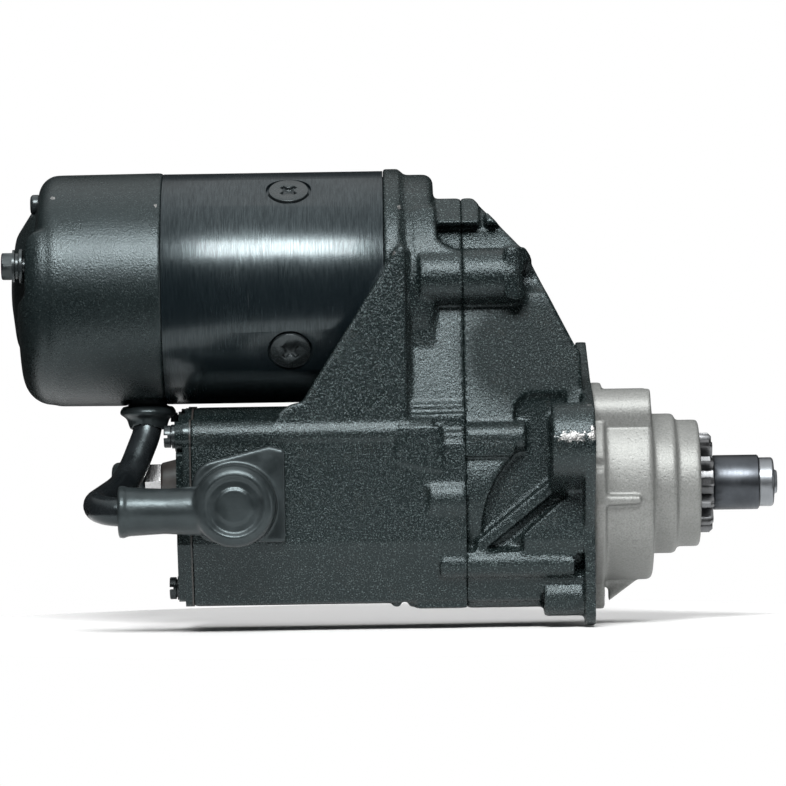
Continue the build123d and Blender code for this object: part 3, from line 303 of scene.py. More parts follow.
@dataclass(frozen=True)
class CastPaint:
    """Semi-gloss paint over a sand-grained casting, with painted glints, and bare metal where it is knocked;
    on the near ear the bare patches also stand in for a highlight band, a painted highlight.
    """

    name: str
    colour: tuple[float, float, float] = (0.0030, 0.0058, 0.0060)
    grain: float = 0.00070
    depth: float = 0.00028
    roughness: tuple[float, float] = (0.19, 0.29)
    coat: float = 0.05
    pitted: float = 0.3
    # share of light flecks painted into the colour as glints: a painted highlight
    glint_share: float = 0.7
    waves: float = 0.00010
    worn_and_highlit: tuple[Spot, ...] = ()
    dust: float = 0.35
    matt: tuple[Spot, ...] = ()
    shine: float = 0.42
    matt_shine: float = 0.07
    # colour of the painted glints
    glint_colour: tuple[float, float, float] = (0.12, 0.155, 0.155)
    dust_colour: tuple[float, float, float] = (0.075, 0.066, 0.055)

    def pigment(self, graph: Graph, sand: bpy.types.NodeSocket) -> bpy.types.NodeSocket:
        """The paint's colour, lighter on the grains, with light flecks as painted glints, and dusty in the
        hollows.

        Args:
            graph: The material being made.
            sand: The grain's height.

        Returns:
            The colour.
        """
        lighter = tuple(c * 1.6 + 0.002 for c in self.colour)
        paint = graph.mix(graph.span(sand, 0.35, 0.75), self.colour, lighter)
        # light teal flecks painted into the colour stand in for glints of light on the grain: painted
        # highlights
        painted_glints = graph.span(graph.noise(self.grain * 0.75, 2.0, 0.5), 0.56, 0.74)
        paint = graph.mix(graph.math("MULTIPLY", painted_glints, self.glint_share), paint, self.glint_colour)
        dirt = graph.math("MULTIPLY", graph.span(graph.noise(0.012, 5.0, 0.7), 0.52, 0.75), self.dust)
        settled = graph.math("MULTIPLY", dirt, graph.span(sand, 0.5, 0.3))
        return graph.mix(settled, paint, self.dust_colour)

    def build(self) -> bpy.types.Material:
        """Makes the material.

        Returns:
            The material.
        """
        graph = Graph(self.name)
        inputs = graph.shader.inputs
        sand = graph.noise(self.grain, 3.0, 0.62)
        pits = graph.cells(self.grain * 1.5)
        height = graph.math("ADD", sand, graph.math("MULTIPLY", pits, self.pitted))
        paint = self.pigment(graph, sand)
        uneven = graph.math("ADD", graph.noise(0.022, 4.0), graph.math("MULTIPLY", sand, 0.6))
        rough = graph.span(uneven, 0.45, 1.1, *self.roughness)
        if self.worn_and_highlit:
            # bare metal patches; the two on the near ear are widened over its highlight band, so they are
            # partly a painted highlight
            bare = graph.near(self.worn_and_highlit)
            metal = graph.mix(graph.span(sand, 0.35, 0.65), (0.12, 0.12, 0.12), (0.42, 0.42, 0.41))
            paint = graph.mix(bare, paint, metal)
            rough = graph.math("ADD", rough, graph.math("MULTIPLY", bare, 0.05))
            graph.feed(inputs["Metallic"], graph.math("MULTIPLY", bare, 0.85))
        shine: object = self.shine
        if self.matt:
            shine = graph.span(graph.nearness(self.matt), 0.05, 0.35, self.shine, self.matt_shine)
        uneven_wall = graph.bump(graph.noise(0.008, 2.0), self.waves, 0.6)
        graph.feed(inputs["Base Color"], paint)
        graph.feed(inputs["Roughness"], rough)
        graph.feed(inputs["Normal"], graph.bump(height, self.depth, 0.9, uneven_wall))
        graph.feed(inputs["Specular IOR Level"], shine)
        graph.feed(inputs["Specular Tint"], SHEEN)
        graph.feed(inputs["Coat Weight"], self.coat)
        graph.feed(inputs["Coat Roughness"], 0.32)
        return graph.material


@dataclass(frozen=True)
class TurnedPaint:
    """Gloss paint over turned steel: fine rings round the X axis show in the highlights."""

    name: str
    colour: tuple[float, float, float] = (0.0035, 0.0062, 0.0078)
    roughness: tuple[float, float] = (0.20, 0.30)
    ring: float = 0.00042
    depth: float = 0.000014
    scratches: float = 0.35
    scratch_colour: tuple[float, float, float] = (0.06, 0.066, 0.068)
    coat: float = 0.12

    def build(self) -> bpy.types.Material:
        """Makes the material.

        Returns:
            The material.
        """
        graph = Graph(self.name)
        inputs = graph.shader.inputs
        rings = graph.noise(self.ring, 4.0, 0.7, graph.stretched((1.0, 0.07, 0.07)))
        wide = graph.noise(0.004, 3.0, 0.6, graph.stretched((1.0, 0.05, 0.05)))
        haze = graph.noise(0.03, 4.0)
        lines = graph.span(graph.noise(0.0006, 2.0, 0.5, graph.stretched((1.0, 0.02, 0.03))), 0.66, 0.74)
        marks = graph.math("MULTIPLY", lines, graph.span(haze, 0.5, 0.72))
        scratched = graph.math("MULTIPLY", marks, self.scratches)
        lighter = tuple(c * 1.4 + 0.001 for c in self.colour)
        paint = graph.mix(graph.span(rings, 0.3, 0.7), self.colour, lighter)
        uneven = graph.math("ADD", graph.math("MULTIPLY", rings, 0.7), haze)
        under = graph.bump(wide, self.depth * 3, 0.4)
        graph.feed(inputs["Base Color"], graph.mix(scratched, paint, self.scratch_colour))
        graph.feed(inputs["Roughness"], graph.span(uneven, 0.5, 1.2, *self.roughness))
        graph.feed(inputs["Normal"], graph.bump(rings, self.depth, 0.9, under))
        graph.feed(inputs["Specular IOR Level"], graph.span(rings, 0.36, 0.64, 0.32, 0.68))
        graph.feed(inputs["Specular Tint"], SHEEN)
        graph.feed(inputs["Coat Weight"], self.coat)
        graph.feed(inputs["Coat Roughness"], 0.12)
        return graph.material


@dataclass(frozen=True)
class CastMetal:
    """Bare sand-grained casting."""

    name: str
    colour: tuple[float, float, float] = (0.27, 0.278, 0.268)
    grain: float = 0.0007
    depth: float = 0.00014
    metallic: float = 0.6

    def shaded(self, share: float) -> tuple[float, ...]:
        """The metal's colour, darkened to a share of itself."""
        return tuple(c * share for c in self.colour)

    def build(self) -> bpy.types.Material:
        """Makes the material.

        Returns:
            The material.
        """
        graph = Graph(self.name)
        inputs = graph.shader.inputs
        sand = graph.noise(self.grain, 4.0, 0.68)
        pits = graph.span(graph.cells(self.grain * 2.2), 0.0, 0.35)
        broad = graph.noise(0.02, 4.0)
        tone = graph.mix(graph.span(sand, 0.32, 0.62), self.shaded(0.62), self.colour)
        tone = graph.mix(graph.span(broad, 0.4, 0.72, 0.0, 0.35), tone, self.shaded(0.78))
        tone = graph.mix(graph.span(pits, 0.0, 0.5, 0.25, 0.0), tone, self.shaded(0.5))
        height = graph.math("ADD", sand, graph.math("MULTIPLY", pits, 0.5))
        graph.feed(inputs["Base Color"], tone)
        graph.feed(inputs["Roughness"], graph.span(sand, 0.3, 0.7, 0.42, 0.62))
        graph.feed(inputs["Normal"], graph.bump(height, self.depth, 0.85))
        graph.feed(inputs["Metallic"], self.metallic)
        return graph.material


@dataclass(frozen=True)
class TurnedMetal:
    """Machined metal with tool rings round the X axis and a little oil darkening."""

    name: str
    colour: tuple[float, float, float] = Metal.STEEL.value
    roughness: tuple[float, float] = (0.22, 0.40)
    stain: float = 0.45

    def build(self) -> bpy.types.Material:
        """Makes the material.

        Returns:
            The material.
        """
        graph = Graph(self.name)
        rings = graph.noise(0.0003, 4.0, 0.65, graph.stretched((1.0, 0.05, 0.05)))
        oil = graph.noise(0.009, 5.0, 0.6)
        darker = tuple(c * 0.45 for c in self.colour)
        tone = graph.mix(graph.span(oil, 0.42, 0.7, 0.0, self.stain), self.colour, darker)
        graph.feed(graph.shader.inputs["Base Color"], tone)
        graph.feed(graph.shader.inputs["Roughness"], graph.span(rings, 0.3, 0.7, *self.roughness))
        graph.feed(graph.shader.inputs["Normal"], graph.bump(rings, 0.00001, 0.8))
        graph.feed(graph.shader.inputs["Metallic"], 1.0)
        return graph.material


@dataclass(frozen=True)
class Moulded:
    """Rubber, plastic or carbon: fine mould grain and broad lighter patches."""

    name: str
    colour: tuple[float, float, float] = (0.0120, 0.0155, 0.0165)
    roughness: tuple[float, float] = (0.28, 0.42)
    grain: float = 0.0007
    depth: float = 0.00003

    def build(self) -> bpy.types.Material:
        """Makes the material.

        Returns:
            The material.
        """
        graph = Graph(self.name)
        fine = graph.noise(self.grain, 3.0, 0.6)
        broad = graph.noise(0.011, 4.0, 0.6)
        lighter = tuple(c * 1.7 + 0.004 for c in self.colour)
        tone = graph.mix(graph.span(broad, 0.4, 0.72), self.colour, lighter)
        graph.feed(graph.shader.inputs["Base Color"], tone)
        graph.feed(graph.shader.inputs["Roughness"], graph.span(broad, 0.35, 0.7, *self.roughness))
        soft = graph.bump(graph.noise(0.004, 2.0), 0.00025, 0.5)
        graph.feed(graph.shader.inputs["Normal"], graph.bump(fine, self.depth, 0.7, soft))
        graph.feed(graph.shader.inputs["Specular Tint"], SHEEN)
        return graph.material


Finish = CastPaint | TurnedPaint | CastMetal | TurnedMetal | Moulded


# ---- mesh helpers --------------------------------------------------------------------------------

def into_scene(name: str, mesh: bpy.types.Mesh) -> bpy.types.Object:
    """Links a new object that holds a mesh.

    Args:
        name: Name of the new object.
        mesh: Its mesh.

    Returns:
        The object.
    """
    made = bpy.data.objects.new(name, mesh)
    bpy.context.scene.collection.objects.link(made)
    return made


def dress(piece: bpy.types.Object, material: bpy.types.Material) -> None:
    """Gives a piece one material."""
    piece.data.materials.clear()
    piece.data.materials.append(material)


def settle(piece: bpy.types.Object) -> None:
    """Applies every modifier of a piece to its mesh.

    Args:
        piece: The piece.
    """
    bpy.context.view_layer.update()
    graph = bpy.context.evaluated_depsgraph_get()
    mesh = bpy.data.meshes.new_from_object(piece.evaluated_get(graph), depsgraph=graph)
    piece.modifiers.clear()
    old = piece.data
    piece.data = mesh
    bpy.data.meshes.remove(old)


def shade(piece: bpy.types.Object, angle: float = 35.0) -> None:
    """Shades a piece smooth, except across sharp edges.

    Args:
        piece: The piece.
        angle: How far an edge turns before it counts as sharp, in degrees.
    """
    mesh = piece.data
    mesh.polygons.foreach_set("use_smooth", [True] * len(mesh.polygons))
    mesh.set_sharp_from_angle(angle=math.radians(angle))


def merged_copy(node: bpy.types.Object, name: str) -> bpy.types.Object:
    """A copy of a CAD node with its loose triangles joined.

    Args:
        node: The CAD node's object.
        name: Name of the copy.

    Returns:
        The copy.
    """
    mesh = bpy.data.meshes.new(name)
    work = bmesh.new()
    work.from_mesh(node.data)
    bmesh.ops.remove_doubles(work, verts=work.verts, dist=2e-6)
    work.to_mesh(mesh)
    work.free()
    return into_scene(name, mesh)


def triangles(piece: bpy.types.Object) -> int:
    """Number of triangles in a piece."""
    return sum(len(p.vertices) - 2 for p in piece.data.polygons)


@dataclass(frozen=True)
class Skin:
    """How a CAD node is re-skinned: voxel size and smoothing passes, and the most triangles it keeps."""

    voxel: float = 0.0008
    passes: int = 6
    most: int = 150_000

    def wrap(self, node: bpy.types.Object, name: str) -> bpy.types.Object:
        """Makes a rounded, even-meshed copy of a CAD node.

        Args:
            node: The CAD node's object.
            name: Name of the new piece.

        Returns:
            The new piece, with no modifiers left.
        """
        piece = merged_copy(node, name)
        remesh = piece.modifiers.new("skin", "REMESH")
        remesh.mode = "VOXEL"
        remesh.voxel_size = self.voxel
        if self.passes:
            relax = piece.modifiers.new("relax", "SMOOTH")
            relax.factor = 0.5
            relax.iterations = self.passes
        settle(piece)
        count = triangles(piece)
        if count > self.most:
            thin = piece.modifiers.new("thin", "DECIMATE")
            thin.ratio = self.most / count
            settle(piece)
        shade(piece, 60)
        return piece


def bridge(work: bmesh.types.BMesh, rings: Sequence[list], closed: bool = True) -> None:
    """Joins each row of vertices to the next with four-sided faces.

    Args:
        work: The mesh being drawn.
        rings: Rows with the same number of vertices.
        closed: Whether each row's end is joined to its start.
    """
    for first, second in zip(rings, rings[1:]):
        count = len(first)
        for i in range(count if closed else count - 1):
            j = (i + 1) % count
            work.faces.new((first[i], first[j], second[j], second[i]))


def drawn(work: bmesh.types.BMesh, name: str) -> bpy.types.Object:
    """Makes a piece of a drawn mesh, with its faces turned outwards.

    Args:
        work: The drawn mesh, which is freed.
        name: Name of the new piece.

    Returns:
        The piece.
    """
    bmesh.ops.recalc_face_normals(work, faces=work.faces)
    mesh = bpy.data.meshes.new(name)
    work.to_mesh(mesh)
    work.free()
    return into_scene(name, mesh)


def softened(node: bpy.types.Object, name: str, width: float = 0.00022) -> bpy.types.Object:
    """A copy of a small CAD node with its sharp edges broken by a narrow bevel.

    Args:
        node: The CAD node's object.
        name: Name of the copy.
        width: Width of the bevel, in metres.

    Returns:
        The copy.
    """
    piece = merged_copy(node, name)
    work = bmesh.new()
    work.from_mesh(piece.data)
    bmesh.ops.dissolve_limit(work, angle_limit=math.radians(1.2), verts=work.verts, edges=work.edges)
    work.to_mesh(piece.data)
    work.free()
    bevel = piece.modifiers.new("edge", "BEVEL")
    bevel.width = width
    bevel.segments = 2
    bevel.limit_method = "ANGLE"
    bevel.angle_limit = math.radians(38)
    bevel.use_clamp_overlap = True
    settle(piece)
    shade(piece, 40)
    return piece


# ---- geometry node trees -------------------------------------------------------------------------

class RoundArray:
    """A geometry node tree that repeats its input piece round an axis along X."""

    def __init__(self) -> None:
        """Builds the tree, with named inputs for the count, the axis and the finish."""
        self.tree = bpy.data.node_groups.new("round_array", "GeometryNodeTree")
        face = self.tree.interface
        self.sockets = {}
        face.new_socket("Geometry", in_out="INPUT", socket_type="NodeSocketGeometry")
        for name, kind in (("Count", "NodeSocketInt"), ("Axis", "NodeSocketVector"),
                           ("Weld", "NodeSocketFloat"), ("Finish", "NodeSocketMaterial")):
            self.sockets[name] = face.new_socket(name, in_out="INPUT", socket_type=kind).identifier
        face.new_socket("Geometry", in_out="OUTPUT", socket_type="NodeSocketGeometry")
        nodes, link = self.tree.nodes, self.tree.links.new
        given = nodes.new("NodeGroupInput").outputs
        points = nodes.new("GeometryNodePoints")
        link(given["Count"], points.inputs["Count"])
        link(given["Axis"], points.inputs["Position"])
        index = nodes.new("GeometryNodeInputIndex")
        step = nodes.new("ShaderNodeMath")
        step.operation = "DIVIDE"
        step.inputs[0].default_value = math.tau
        link(given["Count"], step.inputs[1])
        turn = nodes.new("ShaderNodeMath")
        turn.operation = "MULTIPLY"
        link(index.outputs[0], turn.inputs[0])
        link(step.outputs[0], turn.inputs[1])
        angles = nodes.new("ShaderNodeCombineXYZ")
        link(turn.outputs[0], angles.inputs["X"])
        place = nodes.new("GeometryNodeInstanceOnPoints")
        link(points.outputs[0], place.inputs["Points"])
        link(given["Geometry"], place.inputs["Instance"])
        link(angles.outputs[0], place.inputs["Rotation"])
        real = nodes.new("GeometryNodeRealizeInstances")
        link(place.outputs[0], real.inputs[0])
        weld = nodes.new("GeometryNodeMergeByDistance")
        link(real.outputs[0], weld.inputs["Geometry"])
        link(given["Weld"], weld.inputs["Distance"])
        paint = nodes.new("GeometryNodeSetMaterial")
        link(weld.outputs[0], paint.inputs["Geometry"])
        link(given["Finish"], paint.inputs["Material"])
        link(paint.outputs[0], nodes.new("NodeGroupOutput").inputs[0])

    def apply(self, piece: bpy.types.Object, count: int, axis: Vector, finish: bpy.types.Material,
              weld: float = 1e-6) -> None:
        """Repeats a piece round an axis, and leaves the result as its plain mesh.

        Args:
            piece: One copy, drawn about the X axis.
            count: Number of copies.
            axis: A point that the axis passes through.
            finish: The material of the result.
            weld: Distance under which corners of neighbouring copies are joined.
        """
        modifier = piece.modifiers.new("array", "NODES")
        modifier.node_group = self.tree
        for name, value in (("Count", count), ("Axis", axis), ("Weld", weld), ("Finish", finish)):
            modifier[self.sockets[name]] = value
        settle(piece)


class PlacedCopies:
    """A geometry node tree that puts a copy of its input piece at each of two points."""

    def __init__(self) -> None:
        """Builds the tree, with named inputs for the two places and the finish."""
        self.tree = bpy.data.node_groups.new("placed_copies", "GeometryNodeTree")
        face = self.tree.interface
        self.sockets = {}
        face.new_socket("Geometry", in_out="INPUT", socket_type="NodeSocketGeometry")
        for name, kind in (("First", "NodeSocketVector"), ("Second", "NodeSocketVector"),
                           ("Finish", "NodeSocketMaterial")):
            self.sockets[name] = face.new_socket(name, in_out="INPUT", socket_type=kind).identifier
        face.new_socket("Geometry", in_out="OUTPUT", socket_type="NodeSocketGeometry")
        nodes, link = self.tree.nodes, self.tree.links.new
        given = nodes.new("NodeGroupInput").outputs
        line = nodes.new("GeometryNodeMeshLine")
        line.mode = "END_POINTS"
        line.inputs["Count"].default_value = 2
        link(given["First"], line.inputs["Start Location"])
        link(given["Second"], line.inputs["Offset"])
        place = nodes.new("GeometryNodeInstanceOnPoints")
        link(line.outputs[0], place.inputs["Points"])
        link(given["Geometry"], place.inputs["Instance"])
        real = nodes.new("GeometryNodeRealizeInstances")
        link(place.outputs[0], real.inputs[0])
        paint = nodes.new("GeometryNodeSetMaterial")
        link(real.outputs[0], paint.inputs["Geometry"])
        link(given["Finish"], paint.inputs["Material"])
        link(paint.outputs[0], nodes.new("NodeGroupOutput").inputs[0])

    def apply(self, piece: bpy.types.Object, places: Sequence[Vector], finish: bpy.types.Material) -> None:
        """Puts a piece at two places, and leaves the result as its plain mesh.

        Args:
            piece: One copy, drawn at the origin.
            places: The two places.
            finish: The material of the result.
        """
        modifier = piece.modifiers.new("copies", "NODES")
        modifier.node_group = self.tree
        for name, value in (("First", places[0]), ("Second", places[1]), ("Finish", finish)):
            modifier[self.sockets[name]] = value
        settle(piece)


# ---- sub-assemblies ------------------------------------------------------------------------------

@dataclass
class Frame:
    """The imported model: its node objects and the finishes made so far."""

    nodes: dict[str, bpy.types.Object]
    finishes: dict[str, bpy.types.Material] = field(default_factory=dict)

    def material(self, finish: Finish) -> bpy.types.Material:
        """The material of a finish, made once.

        Args:
            finish: The finish.

        Returns:
            Its material.
        """
        if finish.name not in self.finishes:
            self.finishes[finish.name] = finish.build()
        return self.finishes[finish.name]

    def keep(self, finish: Finish, *names: str) -> None:
        """Leaves CAD nodes as they are and gives them a finish.

        Args:
            finish: The finish.
            names: The nodes' names.
        """
        for name in names:
            node = self.nodes[name]
            if not node.material_slots:
                node.data.materials.append(None)
            for place in node.material_slots:
                place.material = self.material(finish)

    def stand_in(self, piece: bpy.types.Object, node: str, body: str, slot: str) -> None:
        """Puts a finished piece in a CAD node's stead.

        Args:
            piece: The piece.
            node: Name of the node it stands for.
            body: Name of the moving body it rides on.
            slot: Name of its material slot. Not used.
        """
        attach(piece, body)
        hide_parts(node)
        LOG.info("%s stands for %s: %d triangles", piece.name, node, triangles(piece))


BLACK_CASTING = CastPaint("black_casting", worn_and_highlit=(
    Spot((-73.5, -39.0, 88.5), 2.6, (1.0, 0.4, 1.4)),
    Spot((-71.2, -26.0, 106.0), 1.8, (1.2, 0.2, 1.0)),
    # near ear: bare metal scuffs, widened over the ear's highlight band, so partly a painted highlight
    Spot((-8.5, -61.0, 18.8), 5.0, (0.42, 0.5, 1.2)),
    Spot((-1.0, -61.0, 20.0), 3.2, (0.8, 0.5, 0.5)),
    Spot((-68.0, -41.0, -14.0), 2.2),
    Spot((-2.0, -52.0, 31.0), 2.2),
    Spot((-4.0, -20.0, -52.0), 2.4)), matt=(
    Spot((-22.0, -34.0, 51.0), 34.0, (1.0, 0.8, 1.25)),))
COVER_PAINT = CastPaint("cover_paint", (0.0045, 0.0075, 0.008), 0.0006, 0.00016, (0.22, 0.34), 0.05,
                        glint_share=0.35, waves=0.00004, dust=0.1, worn_and_highlit=(
    Spot((-202.0, -17.5, 111.5), 2.2, (1.0, 0.3, 1.4)),
    Spot((-208.5, -14.0, 94.0), 1.6, (1.0, 0.3, 1.0)),
    Spot((-163.2, -22.0, 108.0), 1.5, (1.0, 0.3, 1.0))))
GEAR_STEEL = TurnedMetal("gear_steel", (0.20, 0.21, 0.225), (0.34, 0.50))
BARE_STEEL = TurnedMetal("bare_steel", Metal.STEEL.value)
BRIGHT_STEEL = TurnedMetal("bright_steel", Metal.BRIGHT_STEEL.value, (0.15, 0.3), 0.2)
SOFT_RUBBER = Moulded("soft_rubber")
HARDWARE_PAINT = CastPaint("hardware_paint", (0.010, 0.0125, 0.0135), 0.0005, 0.00003, (0.2, 0.34), 0.3,
                           glint_share=0.2, waves=0.0, dust=0.15)


@dataclass
class MotorShell:
    """Field frame, end cover and the screws that hold them."""

    frame: Frame
    cover_skin: Skin = Skin(0.00075, 8, 170_000)
    head_across: float = 10 * MM
    head_height: float = 4.2 * MM
    flange_radius: float = 6.2 * MM
    flange_thickness: float = 0.8 * MM
    shank_radius: float = 2.95 * MM
    bolt_steps: int = 48

    def long_bolt(self, low: Vector, high: Vector) -> bpy.types.Object:
        """One hexagon bolt with a domed, chamfered head, about the X axis.

        Args:
            low: Lowest corner of the pair of bolts.
            high: Highest corner of the pair of bolts.

        Returns:
            The bolt.
        """
        work = bmesh.new()
        inscribed = self.head_across / 2
        corner = inscribed / math.cos(math.pi / 6)
        seat = low.x + self.head_height
        shoulder = seat + self.flange_thickness
        angles = [math.tau * i / self.bolt_steps for i in range(self.bolt_steps)]
        rings = []
        for x, reach in ((low.x, 0.80), (low.x + 0.35 * MM, 0.90), (low.x + 0.9 * MM, 1.0), (seat, 1.0)):
            flats = [inscribed / math.cos(a % (math.pi / 3) - math.pi / 6) for a in angles]
            radii = [min(flat, corner * reach) for flat in flats]
            rings.append([work.verts.new((x, radius * math.cos(a), radius * math.sin(a)))
                          for radius, a in zip(radii, angles)])
        for x, radius in ((seat, self.flange_radius), (shoulder, self.flange_radius),
                          (shoulder, self.shank_radius), (high.x, self.shank_radius)):
            rings.append([work.verts.new((x, radius * math.cos(a), radius * math.sin(a))) for a in angles])
        work.faces.new(rings[0])
        work.faces.new(rings[-1])
        bridge(work, rings)
        return drawn(work, "long_bolts")

    def build(self) -> None:
        """Builds the shell's pieces."""
        nodes = self.frame.nodes
        cover = self.cover_skin.wrap(nodes["end_cover"], "motor_cover")
        dress(cover, self.frame.material(COVER_PAINT))
        self.frame.stand_in(cover, "end_cover", "stator", "black_cover")
        tube = softened(nodes["yoke"], "field_tube", 0.0003)
        dress(tube, self.frame.material(TurnedPaint("tube_paint")))
        self.frame.stand_in(tube, "yoke", "stator", "black_tube")
        low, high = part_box("through_bolts")
        bolt = self.long_bolt(low, high)
        edge = self.flange_radius
        places = (Vector((0, low.y + edge, high.z - edge)), Vector((0, high.y - edge, low.z + edge)))
        PlacedCopies().apply(bolt, places, self.frame.material(HARDWARE_PAINT))
        shade(bolt, 30)
        self.frame.stand_in(bolt, "through_bolts", "stator", "dark_fastener")
        for node in ("pole_screws", "bolt_washers", "brush_holder_screws"):
            piece = softened(nodes[node], f"{node}_finished")
            dress(piece, self.frame.material(HARDWARE_PAINT))
            self.frame.stand_in(piece, node, "stator", "dark_fastener")


@dataclass
class GearCase:
    """The two black castings, the bare nose and the bolts that join them."""

    frame: Frame
    housing_skin: Skin = Skin(0.0008, 5, 190_000)
    nose_skin: Skin = Skin(0.0007, 4, 150_000)

    def build(self) -> None:
        """Builds the castings."""
        nodes = self.frame.nodes
        for node, name in (("gear_housing", "gear_case"), ("drive_housing", "drive_case")):
            casting = self.housing_skin.wrap(nodes[node], name)
            dress(casting, self.frame.material(BLACK_CASTING))
            self.frame.stand_in(casting, node, "stator", "black_casting")
        nose = self.nose_skin.wrap(nodes["nose_housing"], "nose_casting")
        dress(nose, self.frame.material(CastMetal("nose_metal")))
        self.frame.stand_in(nose, "nose_housing", "stator", "nose_casting")
        for node, finish in (("nose_screws", BRIGHT_STEEL), ("housing_bolts", HARDWARE_PAINT)):
            piece = softened(nodes[node], f"{node}_finished")
            dress(piece, self.frame.material(finish))
            slot = "zinc_steel" if node == "nose_screws" else "dark_fastener"
            self.frame.stand_in(piece, node, "stator", slot)


@dataclass
class SwitchEnd:
    """Cover, screws, boots and the motor lead at the magnetic switch."""

    frame: Frame
    boot_skin: Skin = Skin(0.0006, 10, 70_000)
    lead_radius: float = 5.4 * MM
    dish_depth: float = 1.3 * MM
    dish_radius: float = 10.5 * MM
    boss_radius: float = 6.6 * MM
    nut_across: float = 13 * MM

    ROUTE = ((-168.0, 4.0, 37.0), (-168.0, 3.0, 24.0), (-176.0, -10.0, 3.0), (-189.5, -49.5, -6.6),
             (-158.0, -49.5, -6.6))

    def rounded_route(self, steps: int = 14) -> list[Vector]:
        """The lead's centre line: straight runs joined by arcs.

        Args:
            steps: Number of steps in each arc.

        Returns:
            Points along it, in metres.
        """
        corners = [Vector(place) * MM for place in self.ROUTE]
        line = [corners[0]]
        for before, corner, after in zip(corners, corners[1:], corners[2:]):
            back, on = before - corner, after - corner
            reach = 0.45 * min(back.length, on.length)
            start, end = corner + back.normalized() * reach, corner + on.normalized() * reach
            half = back.angle(on) / 2
            centre = corner + (back.normalized() + on.normalized()).normalized() * (reach / math.cos(half))
            arm, axis = start - centre, (start - centre).cross(end - centre).normalized()
            sweep = math.pi - 2 * half
            line += [centre + Matrix.Rotation(sweep * i / steps, 3, axis) @ arm for i in range(steps + 1)]
        return line + [corners[-1]]

    def lead(self) -> bpy.types.Object:
        """The sleeved lead, from the grommet into the boot's neck.

        Returns:
            The lead.
        """
        curve = bpy.data.curves.new("sleeved_lead", "CURVE")
        curve.dimensions = "3D"
        curve.bevel_depth = self.lead_radius
        curve.bevel_resolution = 10
        curve.use_fill_caps = True
        line = self.rounded_route()
        spline = curve.splines.new("POLY")
        spline.points.add(len(line) - 1)
        for point, place in zip(spline.points, line):
            point.co = (*place, 1.0)
        path = bpy.data.objects.new("lead_path", curve)
        bpy.context.scene.collection.objects.link(path)
        bpy.context.view_layer.update()
        graph = bpy.context.evaluated_depsgraph_get()
        mesh = bpy.data.meshes.new_from_object(path.evaluated_get(graph), depsgraph=graph)
        bpy.data.objects.remove(path)
        piece = into_scene("sleeved_lead", mesh)
        shade(piece, 50)
        return piece

    def dish(self, boot: bpy.types.Object) -> None:
        """Presses a shallow dish with a raised middle into the end of the boot's round head.

        Args:
            boot: The boot, which is changed in place.
        """
        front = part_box("motor_boot")[0].y
        low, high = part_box("terminal_nuts")
        axis_x, axis_z = high.x - self.nut_across / math.sqrt(3), low.z + self.nut_across / 2
        for vertex in boot.data.vertices:
            away = math.hypot(vertex.co.x - axis_x, vertex.co.z - axis_z)
            if vertex.co.y > front + 3 * MM or away > self.dish_radius + 1.5 * MM:
                continue
            rim = min(1.0, max(0.0, (self.dish_radius + 0.8 * MM - away) / (1.6 * MM)))
            middle = min(1.0, max(0.0, (self.boss_radius + 0.5 * MM - away) / (1.0 * MM)))
            vertex.co.y += self.dish_depth * (rim - 0.55 * middle)

    def build(self) -> None:
        """Builds the pieces of the switch's end."""
        nodes, frame = self.frame.nodes, self.frame
        lead = self.lead()
        dress(lead, frame.material(Moulded("lead_sleeve", (0.006, 0.0075, 0.0085), (0.2, 0.34))))
        frame.stand_in(lead, "motor_lead", "stator", "lead_jacket")
        rubber = (("motor_boot", "stud_boot"), ("lead_grommet", "cover_grommet"), ("battery_cap", "stud_cap"))
        for node, name in rubber:
            piece = self.boot_skin.wrap(nodes[node], name)
            if node == "motor_boot":
                self.dish(piece)
            dress(piece, frame.material(SOFT_RUBBER))
            frame.stand_in(piece, node, "stator", "soft_rubber")
        cover = softened(nodes["solenoid_cover"], "switch_cover", 0.0004)
        dress(cover, frame.material(CastPaint("cover_plate_paint", grain=0.0006, depth=0.00003)))
        frame.stand_in(cover, "solenoid_cover", "stator", "black_cover")
        screws = softened(nodes["solenoid_screws"], "switch_screws")
        dress(screws, frame.material(HARDWARE_PAINT))
        frame.stand_in(screws, "solenoid_screws", "stator", "dark_fastener")


